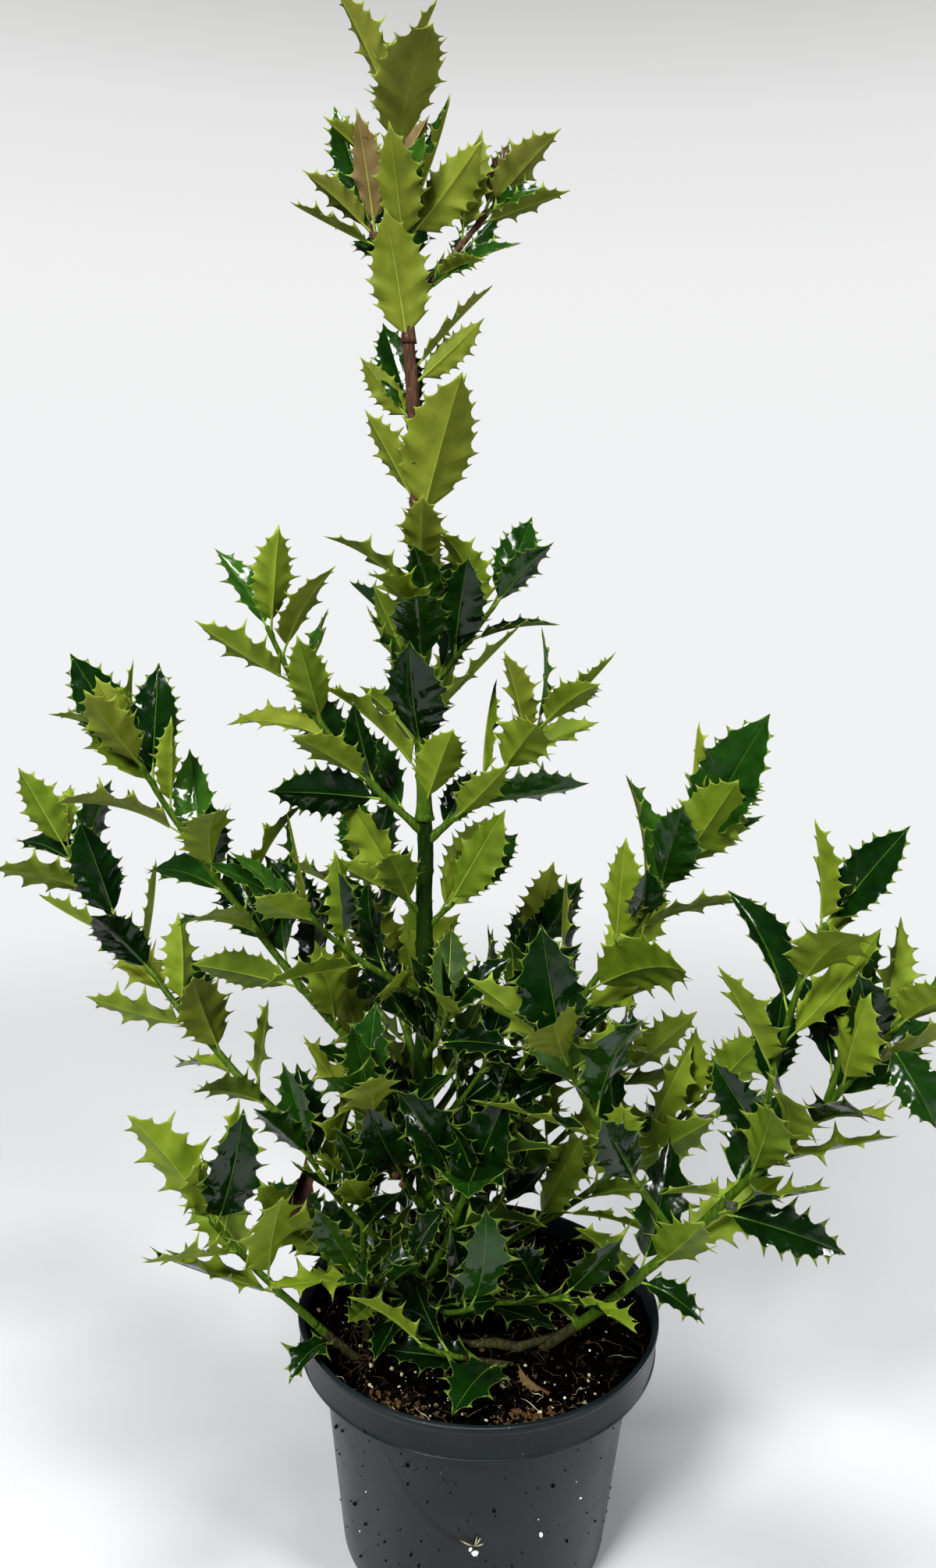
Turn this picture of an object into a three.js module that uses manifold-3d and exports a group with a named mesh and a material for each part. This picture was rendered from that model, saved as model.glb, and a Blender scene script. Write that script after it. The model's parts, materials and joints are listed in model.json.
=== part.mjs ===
// Young holly in a round nursery pot. Millimetres, +Z up.
// The origin is the centre of the pot's flat underside, and the plant's front faces -Y.
import * as THREE from 'three';
import Module from 'manifold-3d';

const wasm = await Module();
wasm.setup();
const { Manifold, Mesh } = wasm;

// Pot
const POT_HEIGHT = 165;
const RIM_RADIUS = 115;
const BAND_FOOT_RADIUS = 113;
const BAND_HEIGHT = 23;
const BAND_FOOT = POT_HEIGHT - BAND_HEIGHT;
const BODY_TOP_RADIUS = 100;
const BODY_FOOT_RADIUS = 85.7;
const HEEL = 4;
const HEEL_EASE = 1.2;
const LIP = 1.2;
const BEAD = 3.6;
const WALL = 1.8;
const POT_SIDES = 30;
const DRAIN_COUNT = 8;
const DRAIN_RADIUS = 6;
const DRAIN_RING = 62;
const DRAIN_SIDES = 6;

// Compost
const SOIL_LEVEL = 150;
const GAP = 0.3;
// How far leaves keep from the pot's side, the compost, the rim's top and the inside of its band.
const CLEAR_SIDE = 5;
const CLEAR_SOIL = 3;
const CLEAR_RIM = 4;
const CLEAR_BAND = 6;

// Limbs
const LIMB_STEP = 22;
const TRUNK_SIDES = 10;
const LIMB_SIDES = 5;
const TWIG_SIDES = 3;
const THICK_STEM = 3;
const SWOLLEN_SIDES = 12;
const FLARE = 2.4;
const FLARE_REACH = 9;
const BEND_JITTER = 3;
const SHORTEST_PIECE = 1;
const BURIED_RADII = 2;
const SMALLEST_EDGE = 0.02;
const CRUMB = 30;

// Leaves
const GOLDEN_TURN = 137.5;
const LEAF_THICKNESS = 1.2;
const STALK_SHARE = 0.12;
const STALK_HALF_WIDTH = 0.9;
const STALK_HALF_THICKNESS = 0.8;
const SPINES = [0.16, 0.42, 0.7];
const HOLLOWS = [0.02, 0.29, 0.57];
const SPINE_REACH = 1.12;
const HOLLOW_REACH = 0.8;
const BLADE_SKEW = 0.85;
const BLADE_FULLNESS = 0.75;
const RIDGE_AT = 0.5;
const LIGHT = [0, 0.8, 0.6];
const LIGHT_TURN = 0.3;
const UPWARD_TURN = 0.25;
const BLADE_FOOT = -0.02;
// What each leaf draws for itself: angles in degrees, sizes as shares of the shoot's leaf length.
const LEAF = {
  gap: [0.85, 1.15],
  turn: [-12, 12],
  spread: [34, 56],
  crowdSpread: [16, 34],
  size: [0.85, 1.12],
  crowdSize: [0.78, 0.98],
  firstSize: 0.85,
  half: [0.25, 0.31],
  fold: [8, 24],
  bend: [-18, 42],
  ripple: [0.025, 0.055],
  roll: [-18, 18],
};
// Where leaves stand on a shoot: from its bare part, and short of its tip, where some crowd.
const FIRST_LEAF = 3;
const TIP_MARGIN = 6;
const CROWD_START = 4;
const CROWD_PITCH = 0.8;
const STALK_EXTRA = 2;
const ROOT_DEPTH = 0.3;
const TRIES = 5;
const TRY_TURN = 47;

// The stream of repeatable draws.
const STREAM_PRIME = 2147483647;
const STREAM_FACTOR = 48271;
const SEED_STEP = 7919;
const SEED_START = 104729;
const FIRST_DRAWS = 3;

// Where the shoots that rise from the compost stand, in the pot's plane.
const FEET = {
  trunk: [-35, 0],
  left_front: [-76, -40],
  left_upright: [-70, -22],
  right_bough: [43, -24],
  foot_front: [14, -42],
};

// One row for each shoot: its parent, how far along the parent it leaves, its compass turn and its
// rise above the level at the start and at the end, its length, the length that stays bare, its
// radius at the foot and at the tip, the mean distance between leaves, the leaf length, how many
// leaves crowd at the tip, and the turn of its first leaf.
const SHOOTS = [
  // name, parent, at, turn, rise, turn, rise, length, bare, foot r, tip r, gap, leaf, crowd, first
  ['trunk', 'soil', 0, 180, 89.6, 180, 89.6, 330, 330, 7.0, 4.6, 0, 0, 0, 0],
  ['leader_low', 'trunk', 330, 190, 89, 190, 87, 140, 6, 4.4, 4.0, 17, 64, 0, 30],
  ['leader_mid', 'leader_low', 140, 185, 86.5, 185, 86, 128, 2, 3.9, 3.4, 19, 60, 0, 0],
  ['leader_top', 'leader_mid', 128, 180, 87, 180, 83, 122, 19, 3.3, 1.6, 14, 60, 4, 60],
  ['top_right', 'leader_top', 18, 5, 50, 5, 52, 66, 16, 2.2, 1.3, 12, 48, 4, 200],
  ['top_left', 'leader_top', 30, 178, 48, 178, 62, 36, 10, 1.9, 1.3, 10, 44, 3, 20],
  ['left_high', 'trunk', 322, 192, 38, 192, 68, 152, 12, 2.3, 1.4, 15, 58, 3, 40],
  ['left_middle', 'trunk', 220, 202, 24, 202, 52, 98, 10, 2.2, 1.4, 15, 58, 3, 0],
  ['left_long', 'trunk', 140, 180, 44, 180, 62, 288, 78, 2.9, 1.6, 15, 62, 3, 0],
  ['left_far', 'trunk', 52, 150, 20, 150, 46, 392, 140, 3.3, 1.7, 16, 62, 3, 0],
  ['left_front', 'soil', 0, 196, 46, 196, 54, 132, 34, 2.8, 1.6, 14, 62, 3, 0],
  ['left_upright', 'soil', 0, 120, 86, 120, 86, 96, 24, 2.3, 1.5, 14, 56, 3, 0],
  ['right_bough', 'soil', 0, -17, 47, -17, 60, 345, 66, 3.4, 1.7, 16, 66, 3, 260],
  ['right_upright', 'right_bough', 190, -20, 94, -20, 68, 150, 40, 2.4, 1.5, 17, 66, 3, 0],
  ['right_twig', 'right_bough', 244, 20, 74, 20, 84, 46, 12, 1.9, 1.4, 13, 60, 3, 0],
  ['right_front', 'right_bough', 118, 188, 52, 188, 66, 142, 46, 2.4, 1.5, 18, 70, 3, 0],
  ['right_long', 'trunk', 15, 8, 72, 8, 51, 348, 160, 3.2, 1.7, 16, 72, 3, 0],
  ['right_high', 'trunk', 316, -6, 42, -6, 54, 100, 8, 2.2, 1.4, 13, 54, 3, 0],
  ['right_spur', 'leader_low', 72, 10, 48, 10, 58, 70, 12, 2.0, 1.3, 13, 52, 3, 0],
  ['front_spur', 'leader_low', 84, -40, 66, -40, 86, 42, 10, 1.8, 1.3, 13, 50, 3, 0],
  ['front_shoot', 'trunk', 24, -50, 58, -50, 70, 116, 26, 2.5, 1.5, 14, 64, 3, 0],
  ['mid_front_left', 'trunk', 76, 232, 52, 232, 68, 104, 22, 2.3, 1.5, 14, 60, 3, 0],
  ['mid_front_right', 'trunk', 104, -28, 46, -28, 62, 120, 22, 2.3, 1.5, 14, 60, 3, 0],
  ['foot_front', 'soil', 0, 200, 16, 200, 34, 56, 8, 2.0, 1.4, 13, 60, 3, 240],
  ['foot_middle', 'trunk', 10, -66, 24, -66, 40, 92, 10, 2.1, 1.4, 12, 60, 3, 0],
  ['foot_right', 'trunk', 16, -34, 14, -34, 30, 116, 24, 2.2, 1.4, 13, 60, 3, 0],
  ['foot_left', 'trunk', 20, 232, 26, 232, 40, 76, 10, 2.1, 1.4, 12, 60, 3, 0],
  ['foot_far_left', 'trunk', 12, 196, 22, 196, 40, 76, 14, 2.1, 1.4, 14, 60, 3, 0],
  ['low_left', 'trunk', 34, 184, 34, 184, 60, 112, 36, 2.4, 1.5, 14, 60, 3, 0],
  ['low_right', 'trunk', 34, 25, 34, 25, 42, 180, 60, 2.6, 1.5, 15, 62, 3, 0],
  ['low_far_right', 'trunk', 22, 12, 22, 12, 42, 220, 80, 2.6, 1.5, 15, 62, 3, 0],
  ['low_back_right', 'trunk', 46, 52, 30, 52, 50, 170, 56, 2.6, 1.5, 16, 60, 3, 0],
  ['mid_right', 'trunk', 150, 15, 40, 15, 56, 86, 14, 2.1, 1.4, 14, 58, 3, 0],
  ['mid_left', 'trunk', 118, 150, 40, 150, 60, 96, 14, 2.1, 1.4, 14, 58, 3, 0],
  ['trunk_spur_right', 'trunk', 262, -8, 46, -8, 46, 24, 8, 1.7, 1.3, 12, 68, 2, 0],
  ['trunk_spur_left', 'trunk', 270, 195, 46, 195, 46, 24, 8, 1.7, 1.3, 12, 58, 2, 0],
  ['back_low', 'trunk', 60, 100, 28, 100, 52, 190, 60, 2.8, 1.6, 16, 60, 3, 0],
  ['back_left', 'trunk', 162, 118, 38, 118, 60, 150, 36, 2.5, 1.5, 16, 58, 3, 0],
  ['back_right', 'trunk', 132, 44, 36, 44, 56, 132, 30, 2.5, 1.5, 16, 58, 3, 0],
  ['back_high', 'leader_low', 24, 100, 44, 100, 66, 110, 16, 2.2, 1.4, 16, 56, 3, 0],
];
const COLUMNS = [
  'name', 'parent', 'at', 'turn', 'rise', 'endTurn', 'endRise', 'length', 'bare',
  'foot', 'tip', 'gap', 'leaf', 'crowd', 'first',
];
// Twigs that are fused to the stem they leave.
const FUSED_TO = { top_right: 'leader_top', top_left: 'leader_top' };
// A shoot whose bare length is shorter than this has no bough of its own.
const SHORTEST_BOUGH = 20;

const GREEN_BARK = new THREE.MeshStandardMaterial({ name: 'green bark', color: 0x4d7a2e, roughness: 0.6 });
const LEAF_GREEN = new THREE.MeshStandardMaterial({ name: 'leaf green', color: 0x2f5d2a, roughness: 0.4 });
const POT_PLASTIC = new THREE.MeshStandardMaterial({ name: 'pot plastic', color: 0x3b4043, roughness: 0.5 });
const COMPOST = new THREE.MeshStandardMaterial({ name: 'compost', color: 0x241a14, roughness: 0.95 });

// Small vector helpers on plain arrays.
const add = (...terms) => [0, 1, 2].map((i) => terms.reduce((sum, [k, v]) => sum + k * v[i], 0));
const dot = (a, b) => a[0] * b[0] + a[1] * b[1] + a[2] * b[2];
const cross = (a, b) => [
  a[1] * b[2] - a[2] * b[1],
  a[2] * b[0] - a[0] * b[2],
  a[0] * b[1] - a[1] * b[0],
];
const unit = (a) => add([1 / Math.sqrt(dot(a, a)), a]);
const radians = (degrees) => degrees * Math.PI / 180;

// A repeatable stream of draws between two bounds, from whole numbers only.
function stream(seed) {
  let state = (seed * SEED_STEP + SEED_START) % STREAM_PRIME;
  const draw = (low, high) => {
    state = (state * STREAM_FACTOR) % STREAM_PRIME;
    return low + (high - low) * state / STREAM_PRIME;
  };
  for (let i = 0; i < FIRST_DRAWS; i += 1) {
    draw(0, 1);
  }
  return draw;
}

// The direction of a shoot, with its level side and its upper side.
function heading(turn, rise) {
  const a = radians(turn);
  const i = radians(rise);
  return {
    along: [Math.cos(i) * Math.cos(a), Math.cos(i) * Math.sin(a), Math.sin(i)],
    side: [-Math.sin(a), Math.cos(a), 0],
    up: [-Math.sin(i) * Math.cos(a), -Math.sin(i) * Math.sin(a), Math.cos(i)],
  };
}

// The points of a shoot's axis, a little crooked, and its heading between each two.
function walk(start, row, draw) {
  const count = Math.max(2, Math.round(row.length / LIMB_STEP));
  const points = [start];
  const headings = [];
  for (let i = 0; i < count; i += 1) {
    const t = (i + 0.5) / count;
    const turn = row.turn + (row.endTurn - row.turn) * t + draw(-BEND_JITTER, BEND_JITTER);
    const rise = row.rise + (row.endRise - row.rise) * t + draw(-BEND_JITTER, BEND_JITTER);
    const next = heading(turn, rise);
    headings.push(next);
    points.push(add([1, points[i]], [row.length / count, next.along]));
  }
  return { points, headings };
}

// The place on a shoot's axis at a distance from its foot, and the heading there.
function placeAt(shoot, distance) {
  const count = shoot.headings.length;
  const piece = shoot.row.length / count;
  const k = Math.min(count - 1, Math.max(0, Math.floor(distance / piece)));
  const here = shoot.headings[k];
  return { point: add([1, shoot.points[k]], [distance - k * piece, here.along]), here };
}

function radiusAt(row, distance) {
  const flare = row.name === 'trunk' ? FLARE * Math.exp(-distance / FLARE_REACH) : 0;
  return row.foot + (row.tip - row.foot) * distance / row.length + flare;
}

// Which distances along a shoot carry a leaf, the crowd at its tip last.
function leafStations(row, draw) {
  const stations = [];
  let distance = row.bare + FIRST_LEAF;
  while (distance < row.length - TIP_MARGIN) {
    stations.push({ distance, crowd: false });
    distance += row.gap * draw(...LEAF.gap);
  }
  for (let j = 0; j < row.crowd; j += 1) {
    stations.push({ distance: row.length - CROWD_START + CROWD_PITCH * j, crowd: true });
  }
  return stations;
}

// Everything about a leaf that the stream decides, before it is turned about its stem.
function drawLeaf(row, station, index, draw) {
  const spread = draw(...(station.crowd ? LEAF.crowdSpread : LEAF.spread));
  const size = draw(...(station.crowd ? LEAF.crowdSize : LEAF.size));
  const length = row.leaf * size * (index === 0 ? LEAF.firstSize : 1);
  return {
    distance: station.distance,
    turn: row.first + GOLDEN_TURN * index + draw(...LEAF.turn),
    spread,
    length,
    half: length * draw(...LEAF.half),
    fold: radians(draw(...LEAF.fold)),
    bend: radians(draw(...LEAF.bend)),
    ripple: length * draw(...LEAF.ripple),
    roll: radians(draw(...LEAF.roll)),
    stalk: length * STALK_SHARE + STALK_EXTRA,
  };
}

// The leaf's own frame: along the blade, the upper face and across, from its root in the stem.
function placeLeaf(shoot, leaf, extraTurn) {
  const { point, here } = placeAt(shoot, leaf.distance);
  const a = radians(leaf.turn + extraTurn);
  const b = radians(leaf.spread);
  const outward = add([Math.cos(a), here.side], [Math.sin(a), here.up]);
  const open = add([Math.cos(b), here.along], [Math.sin(b), outward]);
  const along = unit(add([1, open], [UPWARD_TURN, [0, 0, 1]]));
  const inner = add([Math.sin(b), here.along], [-Math.cos(b), outward]);
  const lit = add([1 - LIGHT_TURN, inner], [LIGHT_TURN, LIGHT]);
  const face = unit(add([1, lit], [-dot(lit, along), along]));
  const across = cross(face, along);
  const c = Math.cos(leaf.roll);
  const s = Math.sin(leaf.roll);
  return {
    ...leaf,
    root: add([1, point], [ROOT_DEPTH * radiusAt(shoot.row, leaf.distance), outward]),
    along,
    across: add([c, across], [s, face]),
    face: add([c, face], [-s, across]),
  };
}

// A point of the blade: u runs from its foot to its tip, v across it, lift off its middle surface.
function bladePoint(leaf, u, v, lift) {
  const forward = leaf.length * Math.sin(leaf.bend * u) / leaf.bend;
  const drop = leaf.length * (1 - Math.cos(leaf.bend * u)) / leaf.bend;
  const face = add([Math.sin(leaf.bend * u), leaf.along], [Math.cos(leaf.bend * u), leaf.face]);
  const rise = Math.abs(v) * leaf.half * Math.sin(leaf.fold) + lift;
  return add(
    [1, leaf.root],
    [leaf.stalk + forward, leaf.along],
    [-drop, leaf.face],
    [v * leaf.half * Math.cos(leaf.fold), leaf.across],
    [rise, face],
  );
}

// The blade's half width, as a share of its greatest.
const bladeWidth = (u) => Math.sin(Math.PI * u ** BLADE_SKEW) ** BLADE_FULLNESS;

// One closed leaf: a thin lens with a spiny edge, on a stalk that starts as an upright edge inside
// the stem. Both faces fan out from a ridge point over the middle of the blade. Foot is where it
// starts, as a share of the blade before its foot.
function leafSolid(leaf, thickness, foot) {
  const stalk = STALK_HALF_WIDTH / leaf.half;
  const edge = [];
  SPINES.forEach((u, j) => {
    const ripple = (j % 2 === 0 ? 1 : -1) * leaf.ripple;
    edge.push([HOLLOWS[j], j === 0 ? stalk : HOLLOW_REACH * bladeWidth(HOLLOWS[j]), 0]);
    edge.push([u, SPINE_REACH * bladeWidth(u), ripple]);
  });
  const right = edge.map(([u, v, lift]) => bladePoint(leaf, u, v, lift));
  const left = edge.map(([u, v, lift]) => bladePoint(leaf, u, -v, lift));
  const points = [...right, bladePoint(leaf, 1, 0, 0), ...left.reverse()];
  const last = points.length - 1;
  const triangles = [];
  for (const side of [1, -1]) {
    const root = points.length;
    const ridge = root + 1;
    points.push(bladePoint(leaf, foot, 0, side * STALK_HALF_THICKNESS));
    points.push(bladePoint(leaf, RIDGE_AT, 0, side * thickness / 2));
    const face = (a, b, c) => triangles.push(side > 0 ? [a, c, b] : [a, b, c]);
    face(ridge, root, 0);
    for (let i = 0; i < last; i += 1) {
      face(ridge, i, i + 1);
    }
    face(ridge, last, root);
  }
  const upper = last + 1;
  const lower = last + 3;
  triangles.push([upper, 0, lower], [upper, lower, last]);
  return { points, solid: closedSolid(points, triangles) };
}

function closedSolid(points, triangles) {
  return new Manifold(new Mesh({
    numProp: 3,
    vertProperties: new Float32Array(points.flat()),
    triVerts: new Uint32Array(triangles.flat()),
  }));
}

// A stretch of a limb as a closed prism with a ring of corners at each bend. Extra swells it evenly.
function limbSolid(shoot, from, to, sides, extra) {
  const count = shoot.headings.length;
  const piece = shoot.row.length / count;
  const stops = [from];
  for (let k = 1; k < count; k += 1) {
    const stop = k * piece;
    if (stop > from + SHORTEST_PIECE && stop < to - SHORTEST_PIECE) {
      stops.push(stop);
    }
  }
  stops.push(to);
  const points = [];
  stops.forEach((distance, index) => {
    const { point, here } = placeAt(shoot, distance);
    const bend = index > 0 && index < stops.length - 1;
    const before = bend ? placeAt(shoot, distance - SHORTEST_PIECE).here : here;
    const along = unit(add([1, before.along], [1, here.along]));
    const side = unit(add([1, before.side], [1, here.side]));
    const up = cross(along, side);
    const radius = radiusAt(shoot.row, Math.max(0, distance)) + extra;
    for (let i = 0; i < sides; i += 1) {
      const a = 2 * Math.PI * i / sides;
      points.push(add([1, point], [radius * Math.cos(a), side], [radius * Math.sin(a), up]));
    }
  });
  const rings = stops.length;
  const triangles = [];
  for (let r = 0; r + 1 < rings; r += 1) {
    for (let i = 0; i < sides; i += 1) {
      const j = (i + 1) % sides;
      const low = r * sides;
      const high = low + sides;
      triangles.push([low + i, low + j, high + j], [low + i, high + j, high + i]);
    }
  }
  const top = (rings - 1) * sides;
  for (let i = 1; i + 1 < sides; i += 1) {
    triangles.push([0, i + 1, i], [top, top + i, top + i + 1]);
  }
  return closedSolid(points, triangles);
}

// A closed solid turned about the pot's axis from [radius, height] corners.
function turned(profile, sides) {
  const section = new wasm.CrossSection([profile]);
  return section.revolve(sides);
}

// The pot's outer radius under its band.
const bodyRadius = (z) => BODY_FOOT_RADIUS + (BODY_TOP_RADIUS - BODY_FOOT_RADIUS) * z / BAND_FOOT;

function pot() {
  const profile = [
    [0, 0],
    [BODY_FOOT_RADIUS - HEEL, 0],
    [BODY_FOOT_RADIUS - HEEL_EASE, HEEL_EASE],
    [bodyRadius(HEEL), HEEL],
    [bodyRadius(BAND_FOOT), BAND_FOOT],
    [BAND_FOOT_RADIUS, BAND_FOOT],
    [RIM_RADIUS - LIP, POT_HEIGHT - BEAD - LIP],
    [RIM_RADIUS, POT_HEIGHT - BEAD],
    [RIM_RADIUS, POT_HEIGHT - LIP],
    [RIM_RADIUS - LIP, POT_HEIGHT],
    [RIM_RADIUS - 2 * WALL, POT_HEIGHT],
    [BAND_FOOT_RADIUS - WALL, BAND_FOOT + WALL],
    [bodyRadius(BAND_FOOT) - WALL, BAND_FOOT + WALL],
    [bodyRadius(WALL + HEEL) - WALL, WALL + HEEL],
    [BODY_FOOT_RADIUS - HEEL - WALL, WALL],
    [0, WALL],
  ];
  let solid = turned(profile, POT_SIDES);
  for (let i = 0; i < DRAIN_COUNT; i += 1) {
    const a = 2 * Math.PI * (i + 0.5) / DRAIN_COUNT;
    const hole = Manifold.cylinder(4 * WALL, DRAIN_RADIUS, DRAIN_RADIUS, DRAIN_SIDES, true);
    solid = solid.subtract(hole.translate([DRAIN_RING * Math.cos(a), DRAIN_RING * Math.sin(a), 0]));
  }
  return solid;
}

// The compost fills the pot to its level, a hair clear of the walls.
function compost() {
  const step = BAND_FOOT + WALL + GAP;
  const inside = WALL + GAP;
  const bandInside = BAND_FOOT_RADIUS - inside;
  const profile = [
    [0, WALL + GAP],
    [BODY_FOOT_RADIUS - HEEL - inside, WALL + GAP],
    [bodyRadius(WALL + HEEL) - inside, WALL + HEEL],
    [bodyRadius(BAND_FOOT) - inside, step],
    [bandInside, step],
    [bandInside, SOIL_LEVEL],
    [0, SOIL_LEVEL],
  ];
  return turned(profile, POT_SIDES);
}

// Whether a point of a leaf would lie in the compost or too near the pot's band.
function inPot([x, y, z]) {
  const r = Math.hypot(x, y);
  const overPot = r < RIM_RADIUS + CLEAR_SIDE;
  const overBand = overPot && r > BAND_FOOT_RADIUS - CLEAR_BAND;
  return (overPot && z < SOIL_LEVEL + CLEAR_SOIL) || (overBand && z < POT_HEIGHT + CLEAR_RIM);
}

const boxesMeet = (a, b) => [0, 1, 2].every((i) => a.min[i] < b.max[i] && b.min[i] < a.max[i]);
const meet = (a, b) => boxesMeet(a.box, b.box) && !a.solid.intersect(b.solid).isEmpty();
const boxed = (node, solid) => ({ node, solid, box: solid.boundingBox() });

// The one closed body of a solid. Crumbs left by a cut are dropped; a real second body is an error.
function oneBody(name, solid) {
  const bodies = solid.decompose().sort((a, b) => b.volume() - a.volume());
  if (bodies.length > 1 && bodies[1].volume() > CRUMB) {
    throw new Error(`${name} is in ${bodies.length} pieces`);
  }
  return bodies[0];
}

function growShoots() {
  const shoots = new Map();
  SHOOTS.forEach((values, index) => {
    const row = Object.fromEntries(COLUMNS.map((column, i) => [column, values[i]]));
    const draw = stream(index + 1);
    const parent = shoots.get(row.parent);
    const start = parent ? placeAt(parent, row.at).point : [...FEET[row.name], SOIL_LEVEL + GAP];
    const shoot = { row, ...walk(start, row, draw) };
    shoot.node = FUSED_TO[row.name] ?? row.name;
    shoot.leaves = leafStations(row, draw).map((station, k) => drawLeaf(row, station, k, draw));
    shoots.set(row.name, shoot);
  });
  return [...shoots.values()];
}

// The bare bough and the leafy stem of a shoot, cut clear of every limb that was grown before it.
function limbPieces(shoot, earlier) {
  const { row } = shoot;
  const foot = row.parent === 'soil' ? -BURIED_RADII * row.foot : 0;
  const sides = row.name === 'trunk' ? TRUNK_SIDES : LIMB_SIDES;
  const hasBough = row.bare >= SHORTEST_BOUGH && row.bare < row.length;
  const pieces = [];
  if (hasBough) {
    pieces.push({ node: `bough_${row.name}`, solid: limbSolid(shoot, foot, row.bare, sides, 0) });
  }
  const from = hasBough ? row.bare + GAP : foot;
  const stemSides = row.foot > THICK_STEM ? sides : TWIG_SIDES;
  pieces.push({ node: shoot.node, solid: limbSolid(shoot, from, row.length, stemSides, 0) });
  const others = earlier.filter((other) => other.node !== shoot.node);
  return pieces.map(({ node, solid }) => {
    let cut = row.parent === 'soil' ? solid.trimByPlane([0, 0, 1], SOIL_LEVEL + GAP) : solid;
    for (const other of others) {
      cut = cut.subtract(other.swollen);
    }
    return boxed(node, oneBody(node, cut));
  });
}

// A leaf that would touch the pot, another shoot or another blade of its own is turned aside about
// its stem, and left out when no turn is free.
function settledLeaf(shoot, leaf, taken) {
  const { node } = shoot;
  const stalkFoot = -leaf.stalk / leaf.length;
  for (let i = 0; i < TRIES; i += 1) {
    const placed = placeLeaf(shoot, leaf, i * TRY_TURN);
    const thick = leafSolid(placed, 2 * LEAF_THICKNESS, stalkFoot);
    const probe = boxed(node, thick.solid);
    const blade = boxed(node, leafSolid(placed, LEAF_THICKNESS, BLADE_FOOT).solid);
    const free = !taken.some((other) => (
      other.node === node ? other.blade && meet(blade, other.blade) : meet(probe, other)
    ));
    if (free && !thick.points.some(inPot)) {
      return { ...boxed(node, leafSolid(placed, LEAF_THICKNESS, stalkFoot).solid), blade };
    }
  }
  return null;
}

function toThree(name, solid, material) {
  const { vertProperties, triVerts } = solid.simplify(SMALLEST_EDGE).getMesh();
  const geometry = new THREE.BufferGeometry();
  geometry.setAttribute('position', new THREE.BufferAttribute(vertProperties, 3));
  geometry.setIndex(new THREE.BufferAttribute(triVerts, 1));
  const mesh = new THREE.Mesh(geometry, material.clone());
  mesh.name = name;
  return mesh;
}

const shoots = growShoots();
const taken = [];
const grown = [];
for (const shoot of shoots) {
  taken.push(...limbPieces(shoot, grown));
  const { row, node } = shoot;
  grown.push({ node, swollen: limbSolid(shoot, -GAP, row.length + GAP, SWOLLEN_SIDES, GAP) });
}
for (const shoot of shoots) {
  for (const leaf of shoot.leaves) {
    const settled = settledLeaf(shoot, leaf, taken);
    if (settled) {
      taken.push(settled);
    }
  }
}

const part = new THREE.Group();
part.name = 'potted_holly';
part.add(toThree('pot', pot(), POT_PLASTIC));
part.add(toThree('compost', compost(), COMPOST));
for (const node of new Set(taken.map((piece) => piece.node))) {
  const solids = taken.filter((piece) => piece.node === node).map((piece) => piece.solid);
  const material = solids.length > 1 ? LEAF_GREEN : GREEN_BARK;
  part.add(toThree(node, oneBody(node, Manifold.union(solids)), material));
}

export default part;
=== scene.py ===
# %% [markdown]
# # A young holly in its nursery pot
# Holly is an evergreen with stiff, wavy, spiny leaves: glossy dark green above, matt yellow-green
# below. This one is a young plant: an upright leader, a bushy foot, and boughs that climb outwards.
# The lesson dresses a plain model of it. Each step first says what a piece is on the real plant,
# how it could be made, and why this way was chosen.
#
# ## The frame
# The plain model comes first, because every dressed piece has to sit where its plain solid sits.

import json
import math
from functools import cache

import bpy
import numpy as np
from mathutils import Matrix, Vector
from mathutils.bvhtree import BVHTree

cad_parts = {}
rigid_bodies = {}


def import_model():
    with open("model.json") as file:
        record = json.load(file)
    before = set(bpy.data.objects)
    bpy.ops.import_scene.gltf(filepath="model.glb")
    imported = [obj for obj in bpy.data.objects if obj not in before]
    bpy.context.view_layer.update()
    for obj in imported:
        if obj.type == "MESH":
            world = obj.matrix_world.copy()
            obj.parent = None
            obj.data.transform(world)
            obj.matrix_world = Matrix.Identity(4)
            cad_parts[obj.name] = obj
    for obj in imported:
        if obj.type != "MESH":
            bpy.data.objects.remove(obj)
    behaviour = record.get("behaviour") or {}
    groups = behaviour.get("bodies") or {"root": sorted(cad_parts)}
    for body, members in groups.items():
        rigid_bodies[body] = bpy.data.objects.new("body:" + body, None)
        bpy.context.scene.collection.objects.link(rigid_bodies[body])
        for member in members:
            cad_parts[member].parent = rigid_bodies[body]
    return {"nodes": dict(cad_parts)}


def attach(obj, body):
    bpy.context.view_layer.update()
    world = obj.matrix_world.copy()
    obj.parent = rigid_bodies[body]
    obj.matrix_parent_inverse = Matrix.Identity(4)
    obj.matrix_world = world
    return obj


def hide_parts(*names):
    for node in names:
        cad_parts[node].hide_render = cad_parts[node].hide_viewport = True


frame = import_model()
scene = bpy.context.scene
bpy.context.evaluated_depsgraph_get().update()
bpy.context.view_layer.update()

# %% [markdown]
# ## The camera
# The plant is seen from in front, a little from above, at the height of its upper leaves. A camera
# could be aimed with a constraint, but this one also leans a little. So its matrix is a product of
# its place and three turns: about the upright, about its own width and about its line of sight.

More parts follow.
